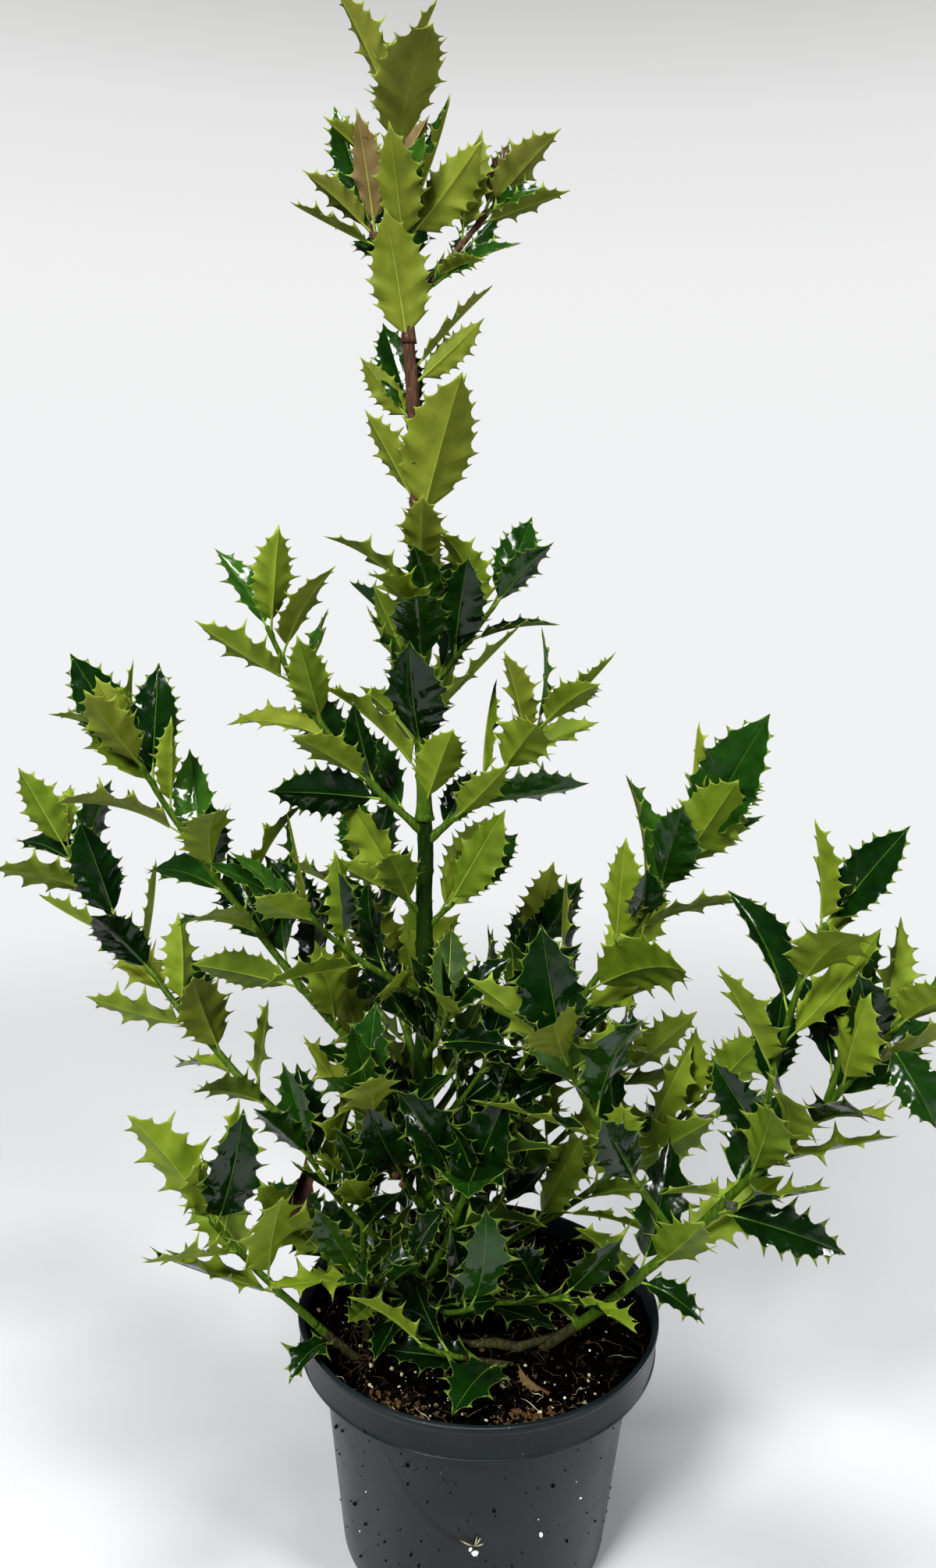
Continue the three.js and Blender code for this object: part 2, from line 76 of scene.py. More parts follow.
# %% Camera
CAMERA_PLACE = (0.0, -0.676, 0.6346)
CAMERA_TILT = math.radians(11.08)
CAMERA_TURN = math.radians(-1.14)
CAMERA_ROLL = math.radians(1.17)
lens = bpy.data.cameras.new("camera")
lens.lens = 26.87
lens.sensor_width = 36.0
lens.clip_start = 0.01
camera = bpy.data.objects.new("camera", lens)
scene.collection.objects.link(camera)
camera.matrix_world = (
    Matrix.Translation(CAMERA_PLACE)
    @ Matrix.Rotation(-CAMERA_TURN, 4, "Z")
    @ Matrix.Rotation(math.pi / 2 - CAMERA_TILT, 4, "X")
    @ Matrix.Rotation(CAMERA_ROLL, 4, "Z")
)
scene.camera = camera
print("camera looks along", [round(-v, 3) for v in camera.matrix_world.col[2][:3]])

# %% [markdown]
# ## How the plant grows
# A real holly repeats one habit. A shoot leaves its parent at an angle, bends up towards the light,
# and carries leaves one by one round its stem, each turned about 137.5 degrees from the last.
# Leaves could be scattered by hand or by a particle system. A small growth rule is used instead,
# the same one that made the plain solids, so both plants agree shoot by shoot. Its lengths are in
# millimetres and turn into metres when a mesh is made.
#
# The rule needs chance that repeats. Python's own random numbers would do here, but the plain
# solids used this little whole-number stream, so it is used again.

# %% A repeatable stream of draws
STREAM_PRIME = 2147483647
STREAM_FACTOR = 48271
SEED_STEP = 7919
SEED_START = 104729
FIRST_DRAWS = 3


def stream(seed):
    """A function that draws the next number between two bounds."""
    state = [(seed * SEED_STEP + SEED_START) % STREAM_PRIME]

    def draw(low, high):
        state[0] = state[0] * STREAM_FACTOR % STREAM_PRIME
        return low + (high - low) * state[0] / STREAM_PRIME

    for _ in range(FIRST_DRAWS):
        draw(0, 1)
    return draw


print("first draw of stream 1:", round(stream(1)(0, 1), 4))

# %% [markdown]
# ### The shoots
# Each row is one shoot: its parent, how far along the parent it leaves, its compass turn, its rise
# at the start and at the end, its length, the length that stays bare, its radius at the foot and at
# the tip, the mean distance between leaves, the leaf length, how many leaves crowd at the tip, and
# the turn of its first leaf. Where the last two are left out, they are 3 and 0. Five shoots rise
# from the compost.

# %% The shoots
SOIL_LEVEL = 150.0
GAP = 0.3
FEET = {
    "trunk": (-35, 0),
    "left_front": (-76, -40),
    "left_upright": (-70, -22),
    "right_bough": (43, -24),
    "foot_front": (14, -42),
}
COLUMNS = "name parent at turn rise end_rise length bare foot tip gap leaf crowd first".split()
SHOOTS = [
    ("trunk", "soil", 0, 180, 89.6, 89.6, 330, 330, 7.0, 4.6, 0, 0, 0),
    ("leader_low", "trunk", 330, 190, 89, 87, 140, 6, 4.4, 4.0, 17, 64, 0, 30),
    ("leader_mid", "leader_low", 140, 185, 86.5, 86, 128, 2, 3.9, 3.4, 19, 60, 0),
    ("leader_top", "leader_mid", 128, 180, 87, 83, 122, 19, 3.3, 1.6, 14, 60, 4, 60),
    ("top_right", "leader_top", 18, 5, 50, 52, 66, 16, 2.2, 1.3, 12, 48, 4, 200),
    ("top_left", "leader_top", 30, 178, 48, 62, 36, 10, 1.9, 1.3, 10, 44, 3, 20),
    ("left_high", "trunk", 322, 192, 38, 68, 152, 12, 2.3, 1.4, 15, 58, 3, 40),
    ("left_middle", "trunk", 220, 202, 24, 52, 98, 10, 2.2, 1.4, 15, 58),
    ("left_long", "trunk", 140, 180, 44, 62, 288, 78, 2.9, 1.6, 15, 62),
    ("left_far", "trunk", 52, 150, 20, 46, 392, 140, 3.3, 1.7, 16, 62),
    ("left_front", "soil", 0, 196, 46, 54, 132, 34, 2.8, 1.6, 14, 62),
    ("left_upright", "soil", 0, 120, 86, 86, 96, 24, 2.3, 1.5, 14, 56),
    ("right_bough", "soil", 0, -17, 47, 60, 345, 66, 3.4, 1.7, 16, 66, 3, 260),
    ("right_upright", "right_bough", 190, -20, 94, 68, 150, 40, 2.4, 1.5, 17, 66),
    ("right_twig", "right_bough", 244, 20, 74, 84, 46, 12, 1.9, 1.4, 13, 60),
    ("right_front", "right_bough", 118, 188, 52, 66, 142, 46, 2.4, 1.5, 18, 70),
    ("right_long", "trunk", 15, 8, 72, 51, 348, 160, 3.2, 1.7, 16, 72),
    ("right_high", "trunk", 316, -6, 42, 54, 100, 8, 2.2, 1.4, 13, 54),
    ("right_spur", "leader_low", 72, 10, 48, 58, 70, 12, 2.0, 1.3, 13, 52),
    ("front_spur", "leader_low", 84, -40, 66, 86, 42, 10, 1.8, 1.3, 13, 50),
    ("front_shoot", "trunk", 24, -50, 58, 70, 116, 26, 2.5, 1.5, 14, 64),
    ("mid_front_left", "trunk", 76, 232, 52, 68, 104, 22, 2.3, 1.5, 14, 60),
    ("mid_front_right", "trunk", 104, -28, 46, 62, 120, 22, 2.3, 1.5, 14, 60),
    ("foot_front", "soil", 0, 200, 16, 34, 56, 8, 2.0, 1.4, 13, 60, 3, 240),
    ("foot_middle", "trunk", 10, -66, 24, 40, 92, 10, 2.1, 1.4, 12, 60),
    ("foot_right", "trunk", 16, -34, 14, 30, 116, 24, 2.2, 1.4, 13, 60),
    ("foot_left", "trunk", 20, 232, 26, 40, 76, 10, 2.1, 1.4, 12, 60),
    ("foot_far_left", "trunk", 12, 196, 22, 40, 76, 14, 2.1, 1.4, 14, 60),
    ("low_left", "trunk", 34, 184, 34, 60, 112, 36, 2.4, 1.5, 14, 60),
    ("low_right", "trunk", 34, 25, 34, 42, 180, 60, 2.6, 1.5, 15, 62),
    ("low_far_right", "trunk", 22, 12, 22, 42, 220, 80, 2.6, 1.5, 15, 62),
    ("low_back_right", "trunk", 46, 52, 30, 50, 170, 56, 2.6, 1.5, 16, 60),
    ("mid_right", "trunk", 150, 15, 40, 56, 86, 14, 2.1, 1.4, 14, 58),
    ("mid_left", "trunk", 118, 150, 40, 60, 96, 14, 2.1, 1.4, 14, 58),
    ("trunk_spur_right", "trunk", 262, -8, 46, 46, 24, 8, 1.7, 1.3, 12, 68, 2),
    ("trunk_spur_left", "trunk", 270, 195, 46, 46, 24, 8, 1.7, 1.3, 12, 58, 2),
    ("back_low", "trunk", 60, 100, 28, 52, 190, 60, 2.8, 1.6, 16, 60),
    ("back_left", "trunk", 162, 118, 38, 60, 150, 36, 2.5, 1.5, 16, 58),
    ("back_right", "trunk", 132, 44, 36, 56, 132, 30, 2.5, 1.5, 16, 58),
    ("back_high", "leader_low", 24, 100, 44, 66, 110, 16, 2.2, 1.4, 16, 56),
]

# %% [markdown]
# ### Walking along a shoot
# A shoot isn't straight. It is walked in short pieces, and each turns a few degrees at random, on
# top of the slow bend towards the light. Each piece keeps its direction, its level side and its
# upper side, because leaves are turned about the stem from those.

# %% Directions and axes
LIMB_STEP = 22
BEND_JITTER = 3
FLARE = 2.4
FLARE_REACH = 9


def both_turned(first, second, angle):
    """Two directions at right angles, turned in their plane, the first towards the second."""
    c, s = np.cos(angle), np.sin(angle)
    return c * first + s * second, c * second - s * first


def heading(turn, rise):
    """A shoot's direction, its level side and its upper side, from angles in degrees."""
    east, north, up = np.eye(3)
    level, side = both_turned(east, north, math.radians(turn))
    along, upper = both_turned(level, up, math.radians(rise))
    return along, side, upper


def walk(start, row, draw):
    """The corner points of a shoot's axis, and its heading between each two."""
    count = max(2, math.floor(row["length"] / LIMB_STEP + 0.5))
    points = [np.array(start, dtype=float)]
    headings = []
    for i in range(count):
        t = (i + 0.5) / count
        turn = row["turn"] + draw(-BEND_JITTER, BEND_JITTER)
        rise = row["rise"] + (row["end_rise"] - row["rise"]) * t + draw(-BEND_JITTER, BEND_JITTER)
        headings.append(heading(turn, rise))
        points.append(points[-1] + headings[-1][0] * row["length"] / count)
    return points, headings


def place_at(shoot, distance):
    """The point on a shoot's axis at a distance from its foot, and the heading there."""
    count = len(shoot["headings"])
    piece = shoot["row"]["length"] / count
    k = min(count - 1, max(0, math.floor(distance / piece)))
    here = shoot["headings"][k]
    return shoot["points"][k] + (distance - k * piece) * here[0], here


def radius_at(row, distance):
    """A shoot's radius, with the trunk's root flare."""
    flare = FLARE * math.exp(-distance / FLARE_REACH) if row["name"] == "trunk" else 0.0
    return row["foot"] + (row["tip"] - row["foot"]) * distance / row["length"] + flare


# %% [markdown]
# ### The leaves of a shoot
# Leaves start where the bare wood ends and stand a finger's width apart. A few crowd at the tip,
# where the shoot hasn't stretched yet. What differs from leaf to leaf is drawn in a fixed order.

# %% Leaf stations and draws
GOLDEN_TURN = 137.5
FIRST_LEAF = 3
TIP_MARGIN = 6
CROWD_START = 4
CROWD_PITCH = 0.8
STALK_SHARE = 0.12
STALK_EXTRA = 2
LEAF = {
    "gap": (0.85, 1.15),
    "turn": (-12, 12),
    "spread": (34, 56),
    "crowd_spread": (16, 34),
    "size": (0.85, 1.12),
    "crowd_size": (0.78, 0.98),
    "first_size": 0.85,
    "half": (0.25, 0.31),
    "fold": (8, 24),
    "bend": (-18, 42),
    "ripple": (0.025, 0.055),
    "roll": (-18, 18),
}


def leaf_stations(row, draw):
    """(distance, in the tip's crowd or not) for each leaf of a shoot."""
    stations = []
    distance = row["bare"] + FIRST_LEAF
    while distance < row["length"] - TIP_MARGIN:
        stations.append((distance, False))
        distance += row["gap"] * draw(*LEAF["gap"])
    for j in range(row["crowd"]):
        stations.append((row["length"] - CROWD_START + CROWD_PITCH * j, True))
    return stations


def draw_leaf(row, station, index, draw):
    """Everything about a leaf that the stream decides."""
    distance, crowd = station
    spread = draw(*LEAF["crowd_spread" if crowd else "spread"])
    size = draw(*LEAF["crowd_size" if crowd else "size"])
    length = row["leaf"] * size * (LEAF["first_size"] if index == 0 else 1)
    leaf = {"distance": distance, "crowd": crowd, "spread": spread, "length": length}
    leaf["turn"] = row["first"] + GOLDEN_TURN * index + draw(*LEAF["turn"])
    degree = math.radians(1)
    scales = {"half": length, "fold": degree, "bend": degree, "ripple": length, "roll": degree}
    for part, scale in scales.items():
        leaf[part] = scale * draw(*LEAF[part])
    leaf["stalk"] = length * STALK_SHARE + STALK_EXTRA
    return leaf


def grow_shoots(rows):
    """Every shoot with its axis and its drawn leaves, by name."""
    shoots = {}
    for index, values in enumerate(rows):
        row = {"crowd": 3, "first": 0, **dict(zip(COLUMNS, values))}
        draw = stream(index + 1)
        parent = shoots.get(row["parent"])
        start = place_at(parent, row["at"])[0] if parent else (*FEET[row["name"]], SOIL_LEVEL + GAP)
        points, headings = walk(start, row, draw)
        shoot = {"row": row, "points": points, "headings": headings, "parent": parent}
        stations = leaf_stations(row, draw)
        shoot["leaves"] = [draw_leaf(row, s, k, draw) for k, s in enumerate(stations)]
        shoots[row["name"]] = shoot
    return shoots


shoots = grow_shoots(SHOOTS)
print("shoots:", len(shoots), "leaves drawn:", sum(len(s["leaves"]) for s in shoots.values()))

# %% [markdown]
# ### A leaf in its place
# A leaf grows out of its stem at an angle, turns a little upwards, and faces the stem and the light
# with its glossy side. Its own frame is three directions: along the blade, across it, and out of
# its upper face.

# %% The leaf's own frame
LIGHT = np.array([0.0, 0.8, 0.6])
LIGHT_TURN = 0.3
UPWARD_TURN = 0.25
ROOT_DEPTH = 0.3
UP = np.array([0.0, 0.0, 1.0])


def unit(v):
    return v / np.linalg.norm(v)


def place_leaf(shoot, leaf, extra_turn):
    """The leaf with its root, along, across and face, turned about its stem by extra degrees."""
    point, (stem, side, upper) = place_at(shoot, leaf["distance"])
    a = math.radians(leaf["turn"] + extra_turn)
    b = math.radians(leaf["spread"])
    outward = math.cos(a) * side + math.sin(a) * upper
    along = unit(math.cos(b) * stem + math.sin(b) * outward + UPWARD_TURN * UP)
    inner = math.sin(b) * stem - math.cos(b) * outward
    lit = (1 - LIGHT_TURN) * inner + LIGHT_TURN * LIGHT
    face = unit(lit - np.dot(lit, along) * along)
    across = np.cross(face, along)
    across, face = both_turned(across, face, leaf["roll"])
    radius = radius_at(shoot["row"], leaf["distance"])
    return {
        **leaf,
        "root": point + ROOT_DEPTH * radius * outward,
        "along": along,
        "across": across,
        "face": face,
        "outward": outward,
    }


# %% [markdown]
# ### Room for every leaf
# On the plant no leaf grows through another. Boxes of slanting leaves overlap long before the
# leaves do. So each leaf gets a rough closed lens of thirty faces, each limb a rough tube, and a
# search tree tells which surfaces cross. A leaf that would touch is turned aside about its stem,
# and left out when no turn is free.

# %% The rough lens of a leaf
LEAF_THICKNESS = 1.2
STALK_HALF_WIDTH = 0.9
STALK_HALF_THICKNESS = 0.8
SPINES = (0.16, 0.42, 0.7)
HOLLOWS = (0.02, 0.29, 0.57)
SPINE_REACH = 1.12
HOLLOW_REACH = 0.8
BLADE_SKEW = 0.85
BLADE_FULLNESS = 0.75
BLADE_FOOT = -0.02
RIDGE_AT = 0.5


def blade_width(u):
    """The blade's half width at a share u of its length, as a share of its greatest."""
    return np.sin(np.pi * np.clip(u, 0.0, 1.0) ** BLADE_SKEW).clip(0.0) ** BLADE_FULLNESS


def blade_point(leaf, u, v, lift):
    """A point of the blade: u along it, v across it, lift off its middle surface."""
    bend = leaf["bend"]
    length = leaf["length"]
    forward = length * math.sin(bend * u) / bend
    drop = length * (1 - math.cos(bend * u)) / bend
    face = math.sin(bend * u) * leaf["along"] + math.cos(bend * u) * leaf["face"]
    rise = abs(v) * leaf["half"] * math.sin(leaf["fold"]) + lift
    point = leaf["root"] + (leaf["stalk"] + forward) * leaf["along"] - drop * leaf["face"]
    return point + v * leaf["half"] * math.cos(leaf["fold"]) * leaf["across"] + rise * face


def leaf_lens(leaf, thickness, foot):
    """The points and triangles of the rough lens, from foot, a share of the blade."""
    edge = []
    for j, (hollow, spine) in enumerate(zip(HOLLOWS, SPINES)):
        reach = STALK_HALF_WIDTH / leaf["half"] if j == 0 else HOLLOW_REACH * blade_width(hollow)
        edge.append((hollow, reach, 0.0))
        edge.append((spine, SPINE_REACH * blade_width(spine), (-1) ** j * leaf["ripple"]))
    right = [blade_point(leaf, u, v, lift) for u, v, lift in edge]
    left = [blade_point(leaf, u, -v, lift) for u, v, lift in reversed(edge)]
    points = [*right, blade_point(leaf, 1, 0, 0), *left]
    last = len(points) - 1
    triangles = []
    for side in (1, -1):
        root = len(points)
        ridge = root + 1
        points.append(blade_point(leaf, foot, 0, side * STALK_HALF_THICKNESS))
        points.append(blade_point(leaf, RIDGE_AT, 0, side * thickness / 2))
        triangles.append((ridge, root, 0))
        triangles.extend((ridge, i, i + 1) for i in range(last))
        triangles.append((ridge, last, root))
    triangles.extend([(last + 1, 0, last + 3), (last + 1, last + 3, last)])
    return points, triangles


def boxed(node, points, triangles, blade=None):
    """A rough shape with its box and its search tree."""
    points = np.array(points)
    tree = BVHTree.FromPolygons([tuple(p) for p in points], triangles)
    return {"node": node, "low": points.min(0), "high": points.max(0), "tree": tree, "blade": blade}


def meet(a, b):
    """Whether two rough shapes touch."""
    if np.any(a["low"] > b["high"]) or np.any(b["low"] > a["high"]):
        return False
    return bool(a["tree"].overlap(b["tree"]))


# %% [markdown]
# A limb's rough tube starts where it comes out of its parent, so that the parent's own leaves
# aren't turned aside by wood that is hidden inside it.

# %% The rough tube of a limb
ROUGH_SIDES = 6
SHORTEST_BOUGH = 20
TRUNK_NAME = "trunk"


def comes_out_at(shoot):
    """How far along a shoot it leaves its parent's wood."""
    parent = shoot["parent"]
    if parent is None:
        return 0.0
    row = parent["row"]
    at = shoot["row"]["at"]
    cosine = float(np.dot(shoot["headings"][0][0], place_at(parent, at)[1][0]))
    sine = math.sqrt(max(1e-6, 1 - cosine * cosine))
    beside = (radius_at(row, at) + GAP) / sine
    beyond = (row["length"] + GAP - at) / max(cosine, 1e-3)
    return min(beside, beyond)


def angles_round(sides):
    """Equal angles once round."""
    return 2 * np.pi * np.arange(sides) / sides


def ring(middle, side, over, radius, sides):
    """Points round an axis. The radius is one number, or one for each point."""
    angles = angles_round(sides)
    wide = (radius * np.cos(angles))[:, None]
    high = (radius * np.sin(angles))[:, None]
    return middle + wide * side + high * over


def ring_quads(rings, sides, first=0):
    """Faces of four corners between rings of points, numbered from first."""
    steps = [(i, (i + 1) % sides) for i in range(sides)]
    lows = range(first, first + (rings - 1) * sides, sides)
    return [(low + i, low + j, low + sides + j, low + sides + i) for low in lows for i, j in steps]


def cap_triangles(first, last, foot, tip, sides):
    """Triangles that close the first ring at foot and the last ring at tip."""
    triangles = []
    for i in range(sides):
        j = (i + 1) % sides
        triangles.extend([(first + j, first + i, foot), (last + i, last + j, tip)])
    return triangles


def rough_tubes(shoot):
    """The bare bough and the leafy stem of a shoot, each as a rough tube."""
    row = shoot["row"]
    first = comes_out_at(shoot)
    tubes = []
    if SHORTEST_BOUGH <= row["bare"] < row["length"]:
        tubes.append((f"bough_{row['name']}", first, row["bare"]))
        first = row["bare"] + GAP
    tubes.append((shoot["node"], first, row["length"]))
    made = []
    for node, start, end in tubes:
        stops = [*np.arange(start, end, LIMB_STEP / 2), end]
        points = []
        for distance in stops:
            point, (along, side, _) = place_at(shoot, distance)
            radius = radius_at(row, max(0.0, distance))
            points.extend(ring(point, side, np.cross(along, side), radius, ROUGH_SIDES))
        made.append(boxed(node, points, ring_quads(len(stops), ROUGH_SIDES)))
    return made


FUSED_TO = {"top_right": "leader_top", "top_left": "leader_top"}
for shoot in shoots.values():
    shoot["node"] = FUSED_TO.get(shoot["row"]["name"], shoot["row"]["name"])
taken = [tube for shoot in shoots.values() for tube in rough_tubes(shoot)]
print("rough tubes:", len(taken))

# %% [markdown]
# Leaves also keep out of the compost and off the pot's rim.

# %% Settling the leaves
RIM_RADIUS = 115
BAND_FOOT_RADIUS = 113
POT_HEIGHT = 165
CLEAR_SIDE = 5
CLEAR_SOIL = 3
CLEAR_RIM = 4
CLEAR_BAND = 6
TRIES = 5
TRY_TURN = 47


def in_pot(point):
    """Whether a point lies in the compost or too near the pot's band."""
    r = math.hypot(point[0], point[1])
    over_pot = r < RIM_RADIUS + CLEAR_SIDE
    over_band = over_pot and r > BAND_FOOT_RADIUS - CLEAR_BAND
    return (over_pot and point[2] < SOIL_LEVEL + CLEAR_SOIL) or (
        over_band and point[2] < POT_HEIGHT + CLEAR_RIM
    )


def settle(shoot, leaf, turns):
    """The leaf placed at the first turn that is free, or None."""
    node = shoot["node"]
    foot = -leaf["stalk"] / leaf["length"]
    for turn in turns:
        placed = place_leaf(shoot, leaf, turn)
        thick, triangles = leaf_lens(placed, 2 * LEAF_THICKNESS, foot)
        if any(in_pot(point) for point in thick):
            continue
        probe = boxed(node, thick, triangles)
        blade = boxed(node, *leaf_lens(placed, LEAF_THICKNESS, BLADE_FOOT))
        own = [t["blade"] for t in taken if t["node"] == node and t["blade"]]
        others = [t for t in taken if t["node"] != node]
        if not any(meet(blade, t) for t in own) and not any(meet(probe, t) for t in others):
            placed["shape"] = boxed(node, *leaf_lens(placed, LEAF_THICKNESS, foot), blade)
            taken.append(placed["shape"])
            return placed
    return None


leaves = []
left_out = []
for shoot in shoots.values():
    for leaf in shoot["leaves"]:
        placed = settle(shoot, leaf, [i * TRY_TURN for i in range(TRIES)])
        if placed:
            leaves.append((shoot, placed))
        else:
            left_out.append((shoot, leaf))
print("leaves settled:", len(leaves), "left out:", len(left_out))

# %% [markdown]
# ## Filling the foot
# The foot of the plant is its densest part: short twigs fill it with leaves. The plain leaves are
# thick and soon touch. Real blades are thin, so the leaves that found no room get a second try,
# turned more finely and a little smaller. A few short spurs grow by the same rule as well. All of
# them stay inside the reach of the plain crown.

# %% Second tries
FINE_TURNS = [i * 30 + 15 for i in range(12)]
SMALLER = 0.86


def shrunk(leaf, share):
    """The same leaf at a share of its size."""
    smaller = dict(leaf)
    for part in ("length", "half", "ripple", "stalk"):
        smaller[part] *= share
    return smaller


def settle_again(pairs):
    """How many of the left-out leaves find a place at a finer turn."""
    found = 0
    for shoot, leaf in pairs:
        placed = settle(shoot, shrunk(leaf, SMALLER), FINE_TURNS)
        if placed:
            leaves.append((shoot, placed))
            found += 1
    return found


SPURS = [
    ("spur_foot_a", "trunk", 28, -95, 30, 50, 66, 8, 1.9, 1.3, 11, 56),
    ("spur_foot_b", "trunk", 40, -10, 34, 52, 70, 8, 1.9, 1.3, 11, 56),
    ("spur_foot_c", "trunk", 46, 205, 36, 54, 66, 8, 1.9, 1.3, 11, 56),
    ("spur_foot_d", "left_upright", 20, 300, 40, 60, 52, 8, 1.7, 1.2, 11, 52),
    ("spur_foot_e", "right_bough", 30, 170, 30, 50, 56, 8, 1.8, 1.2, 11, 54),
    ("spur_mid_a", "trunk", 84, -60, 40, 60, 70, 10, 1.9, 1.3, 12, 56),
    ("spur_mid_b", "trunk", 96, 250, 40, 60, 66, 10, 1.9, 1.3, 12, 56),
    ("spur_mid_c", "trunk", 128, -30, 44, 62, 70, 10, 1.9, 1.3, 12, 56),
    ("spur_mid_d", "trunk", 60, 20, 40, 58, 74, 10, 1.9, 1.3, 12, 58),
    ("spur_mid_e", "trunk", 178, -60, 44, 62, 56, 8, 1.8, 1.2, 12, 52),
]
spurs = grow_shoots(SHOOTS + SPURS)
spurs = {name: spur for name, spur in spurs.items() if name not in shoots}
for spur in spurs.values():
    spur["parent"] = shoots[spur["row"]["parent"]]
    spur["node"] = spur["row"]["name"]
    taken.extend(rough_tubes(spur))
spur_leaves = [(spur, leaf) for spur in spurs.values() for leaf in spur["leaves"]]
print("second tries:", settle_again(left_out), "on spurs:", settle_again(spur_leaves))

# %% [markdown]
# ## Leaves set one by one
# A rule fills a crown well, but the eye knows a plant by a few leaves of its own: those that hang
# over the pot's edge and the broad ones in front of the dark foot. They are set one by one.
# Each row names the shoot, how far along it the leaf starts, where its tip ends and which way its
# glossy side faces, then its bend in degrees, its half width against its length, how bold its
# spines are and, for some, its tone: 0 is the deepest green and 4 is bronze. A grown leaf that is
# in the way looks for another place round its stem, or falls off low down, where the foot is open.

# %% Leaves set one by one
HAND_LEAVES = [
    ("foot_front", 2, (-12, -100, 161), (-3, -6, 8), 30, 0.34, 0.8),
    ("left_front", 17, (-107, -80, 161), (-4, -4, 10), 64, 0.33, 0.9),
    ("right_bough", 80, (131, -57, 193), (4, -5, 8), 48, 0.3, 0.6),
    ("foot_front", 55, (-74, -68, 208), (3, 7, 6), 24, 0.27, 0.6),
    ("right_bough", 28, (20, -66, 205), (1, 5, 9), 46, 0.25, 1.0),
    ("right_bough", 76, (57, -57, 250), (5, 8, 4), 22, 0.3, 1.0),
    ("right_bough", 162, (103, -66, 280), (1, 7, 7), 20, 0.42, 1.0),
    ("right_front", 64, (78, -60, 330), (1, 9, 2), 14, 0.36, 0.5),
    ("right_front", 141, (30, -60, 434), (-2, -8.5, 4.6), 24, 0.32, 0.35, 0),
    ("right_front", 138, (-8, -66, 404), (5, 8, 2), 16, 0.3, 1.0),
    ("right_front", 132, (88, -62, 376), (1, 9, 4), 16, 0.33, 0.8),
    ("left_upright", 60, (-133, -48, 239), (3, 6, 8), 26, 0.28, 1.0),
    ("front_shoot", 60, (38, -37, 238), (1, 6, 8), 34, 0.28, 1.0),
    ("front_shoot", 84, (14, -44, 326), (-1, -8.5, 4.5), 24, 0.3, 0.4, 0),
    ("spur_mid_a", 54, (42, -50, 297), (0, 7, 7), 22, 0.26, 1.0),
    ("spur_mid_a", 48, (-50, -50, 330), (5, -7, 4), 24, 0.3, 0.8, 0),
    ("spur_mid_e", 24, (18, -38, 353), (-1, -5, 8), 30, 0.26, 0.9),
    ("mid_front_left", 44, (-66, -50, 322), (-1, -9, 4), 26, 0.3, 0.6, 0),
    ("trunk", 164, (-80, -30, 330), (-2, -8, 5), 20, 0.28, 0.7),
    ("top_left", 30, (-78, -14, 858), (2, 9, 3), 10, 0.22, 0.2, 4),
    ("leader_top", 62, (-41, -22, 846), (-3, -9, 3), 24, 0.26, 0.3, 2),
    ("top_left", 34, (-92, 8, 866), (1, -9, 3), 12, 0.22, 0.3, 1),
    ("leader_top", 88, (-43, 10, 864), (-2, 9, 3), 10, 0.24, 0.2, 4),
    ("leader_top", 52, (-14, -25, 841), (4, 9, 2), 18, 0.27, 0.2, 2),
    ("top_right", 62, (19, -12, 823), (6, -6.5, 5), 30, 0.26, 0.4, 1),
    ("top_right", 64, (1, 8, 851), (1, -9, 4), 12, 0.2, 0.2, 4),
    ("top_right", 10, (7, -12, 795), (4, -6, 7), 30, 0.2, 0.2, 1),
    ("leader_mid", 124, (-62, -22, 808), (1, 9, 3), 14, 0.3, 0.1, 2),
    ("leader_mid", 106, (-12, -8, 758), (5, 8, 3), 16, 0.2, 0.1, 2),
    ("leader_mid", 86, (-75, -8, 737), (-4, 8, 4), 30, 0.24, 0.1, 2),
    ("leader_mid", 84, (-66, 16, 758), (2, -9, 3), 14, 0.28, 0.1, 1),
    ("leader_mid", 30, (-21, -28, 726), (-2, 9, 2), 16, 0.31, 0.1, 2),
    ("right_long", 340, (162, 10, 544), (-2.5, -8.5, 4.5), 26, 0.29, 0.2, 1),
    ("right_long", 322, (142, -6, 507), (3, 9, 2), 12, 0.36, 0.2),
    ("right_upright", 148, (219, -72, 497), (-3, -8, 5), 22, 0.25, 0.15, 0),
    ("right_long", 284, (92, -12, 456), (1, -9, 4), 16, 0.32, 0.3, 1),
    ("right_bough", 288, (196, -84, 421), (-1, -9, 4), 18, 0.38, 0.4, 0),
    ("right_bough", 296, (239, -94, 343), (0, -9, 5), 34, 0.34, 0.3, 1),
    ("right_bough", 150, (206, -66, 247), (0, -7, 7), 34, 0.24, 0.7, 0),
    ("right_upright", 18, (131, -50, 354), (-2, -9, 3), 20, 0.32, 0.6, 0),
    ("left_long", 274, (-248, 10, 570), (2, -9, 3), 14, 0.24, 0.1, 0),
    ("left_long", 276, (-228, -8, 559), (-3, 9, 2), 12, 0.28, 0.1, 2),
    ("left_long", 266, (-198, 12, 565), (1, -9, 4), 12, 0.27, 0.2, 0),
    ("left_long", 200, (-163, -12, 489), (2, -9, 3), 12, 0.27, 0.2, 0),
    ("left_middle", 68, (-87, -32, 457), (1, -9, 3), 14, 0.3, 0.3, 0),
    ("left_high", 42, (-79, -14, 550), (-3, -9, 3), 14, 0.25, 0.1, 0),
    ("left_front", 128, (-135, -70, 326), (4, -8, 4), 34, 0.26, 0.6, 0),
    ("left_front", 130, (-199, -70, 318), (-2, 8, 5), 24, 0.28, 0.7),
]
HAND_FOLD = 18
HAND_RIPPLE = 0.045
OPEN_BELOW = 250
all_shoots = {**shoots, **spurs}


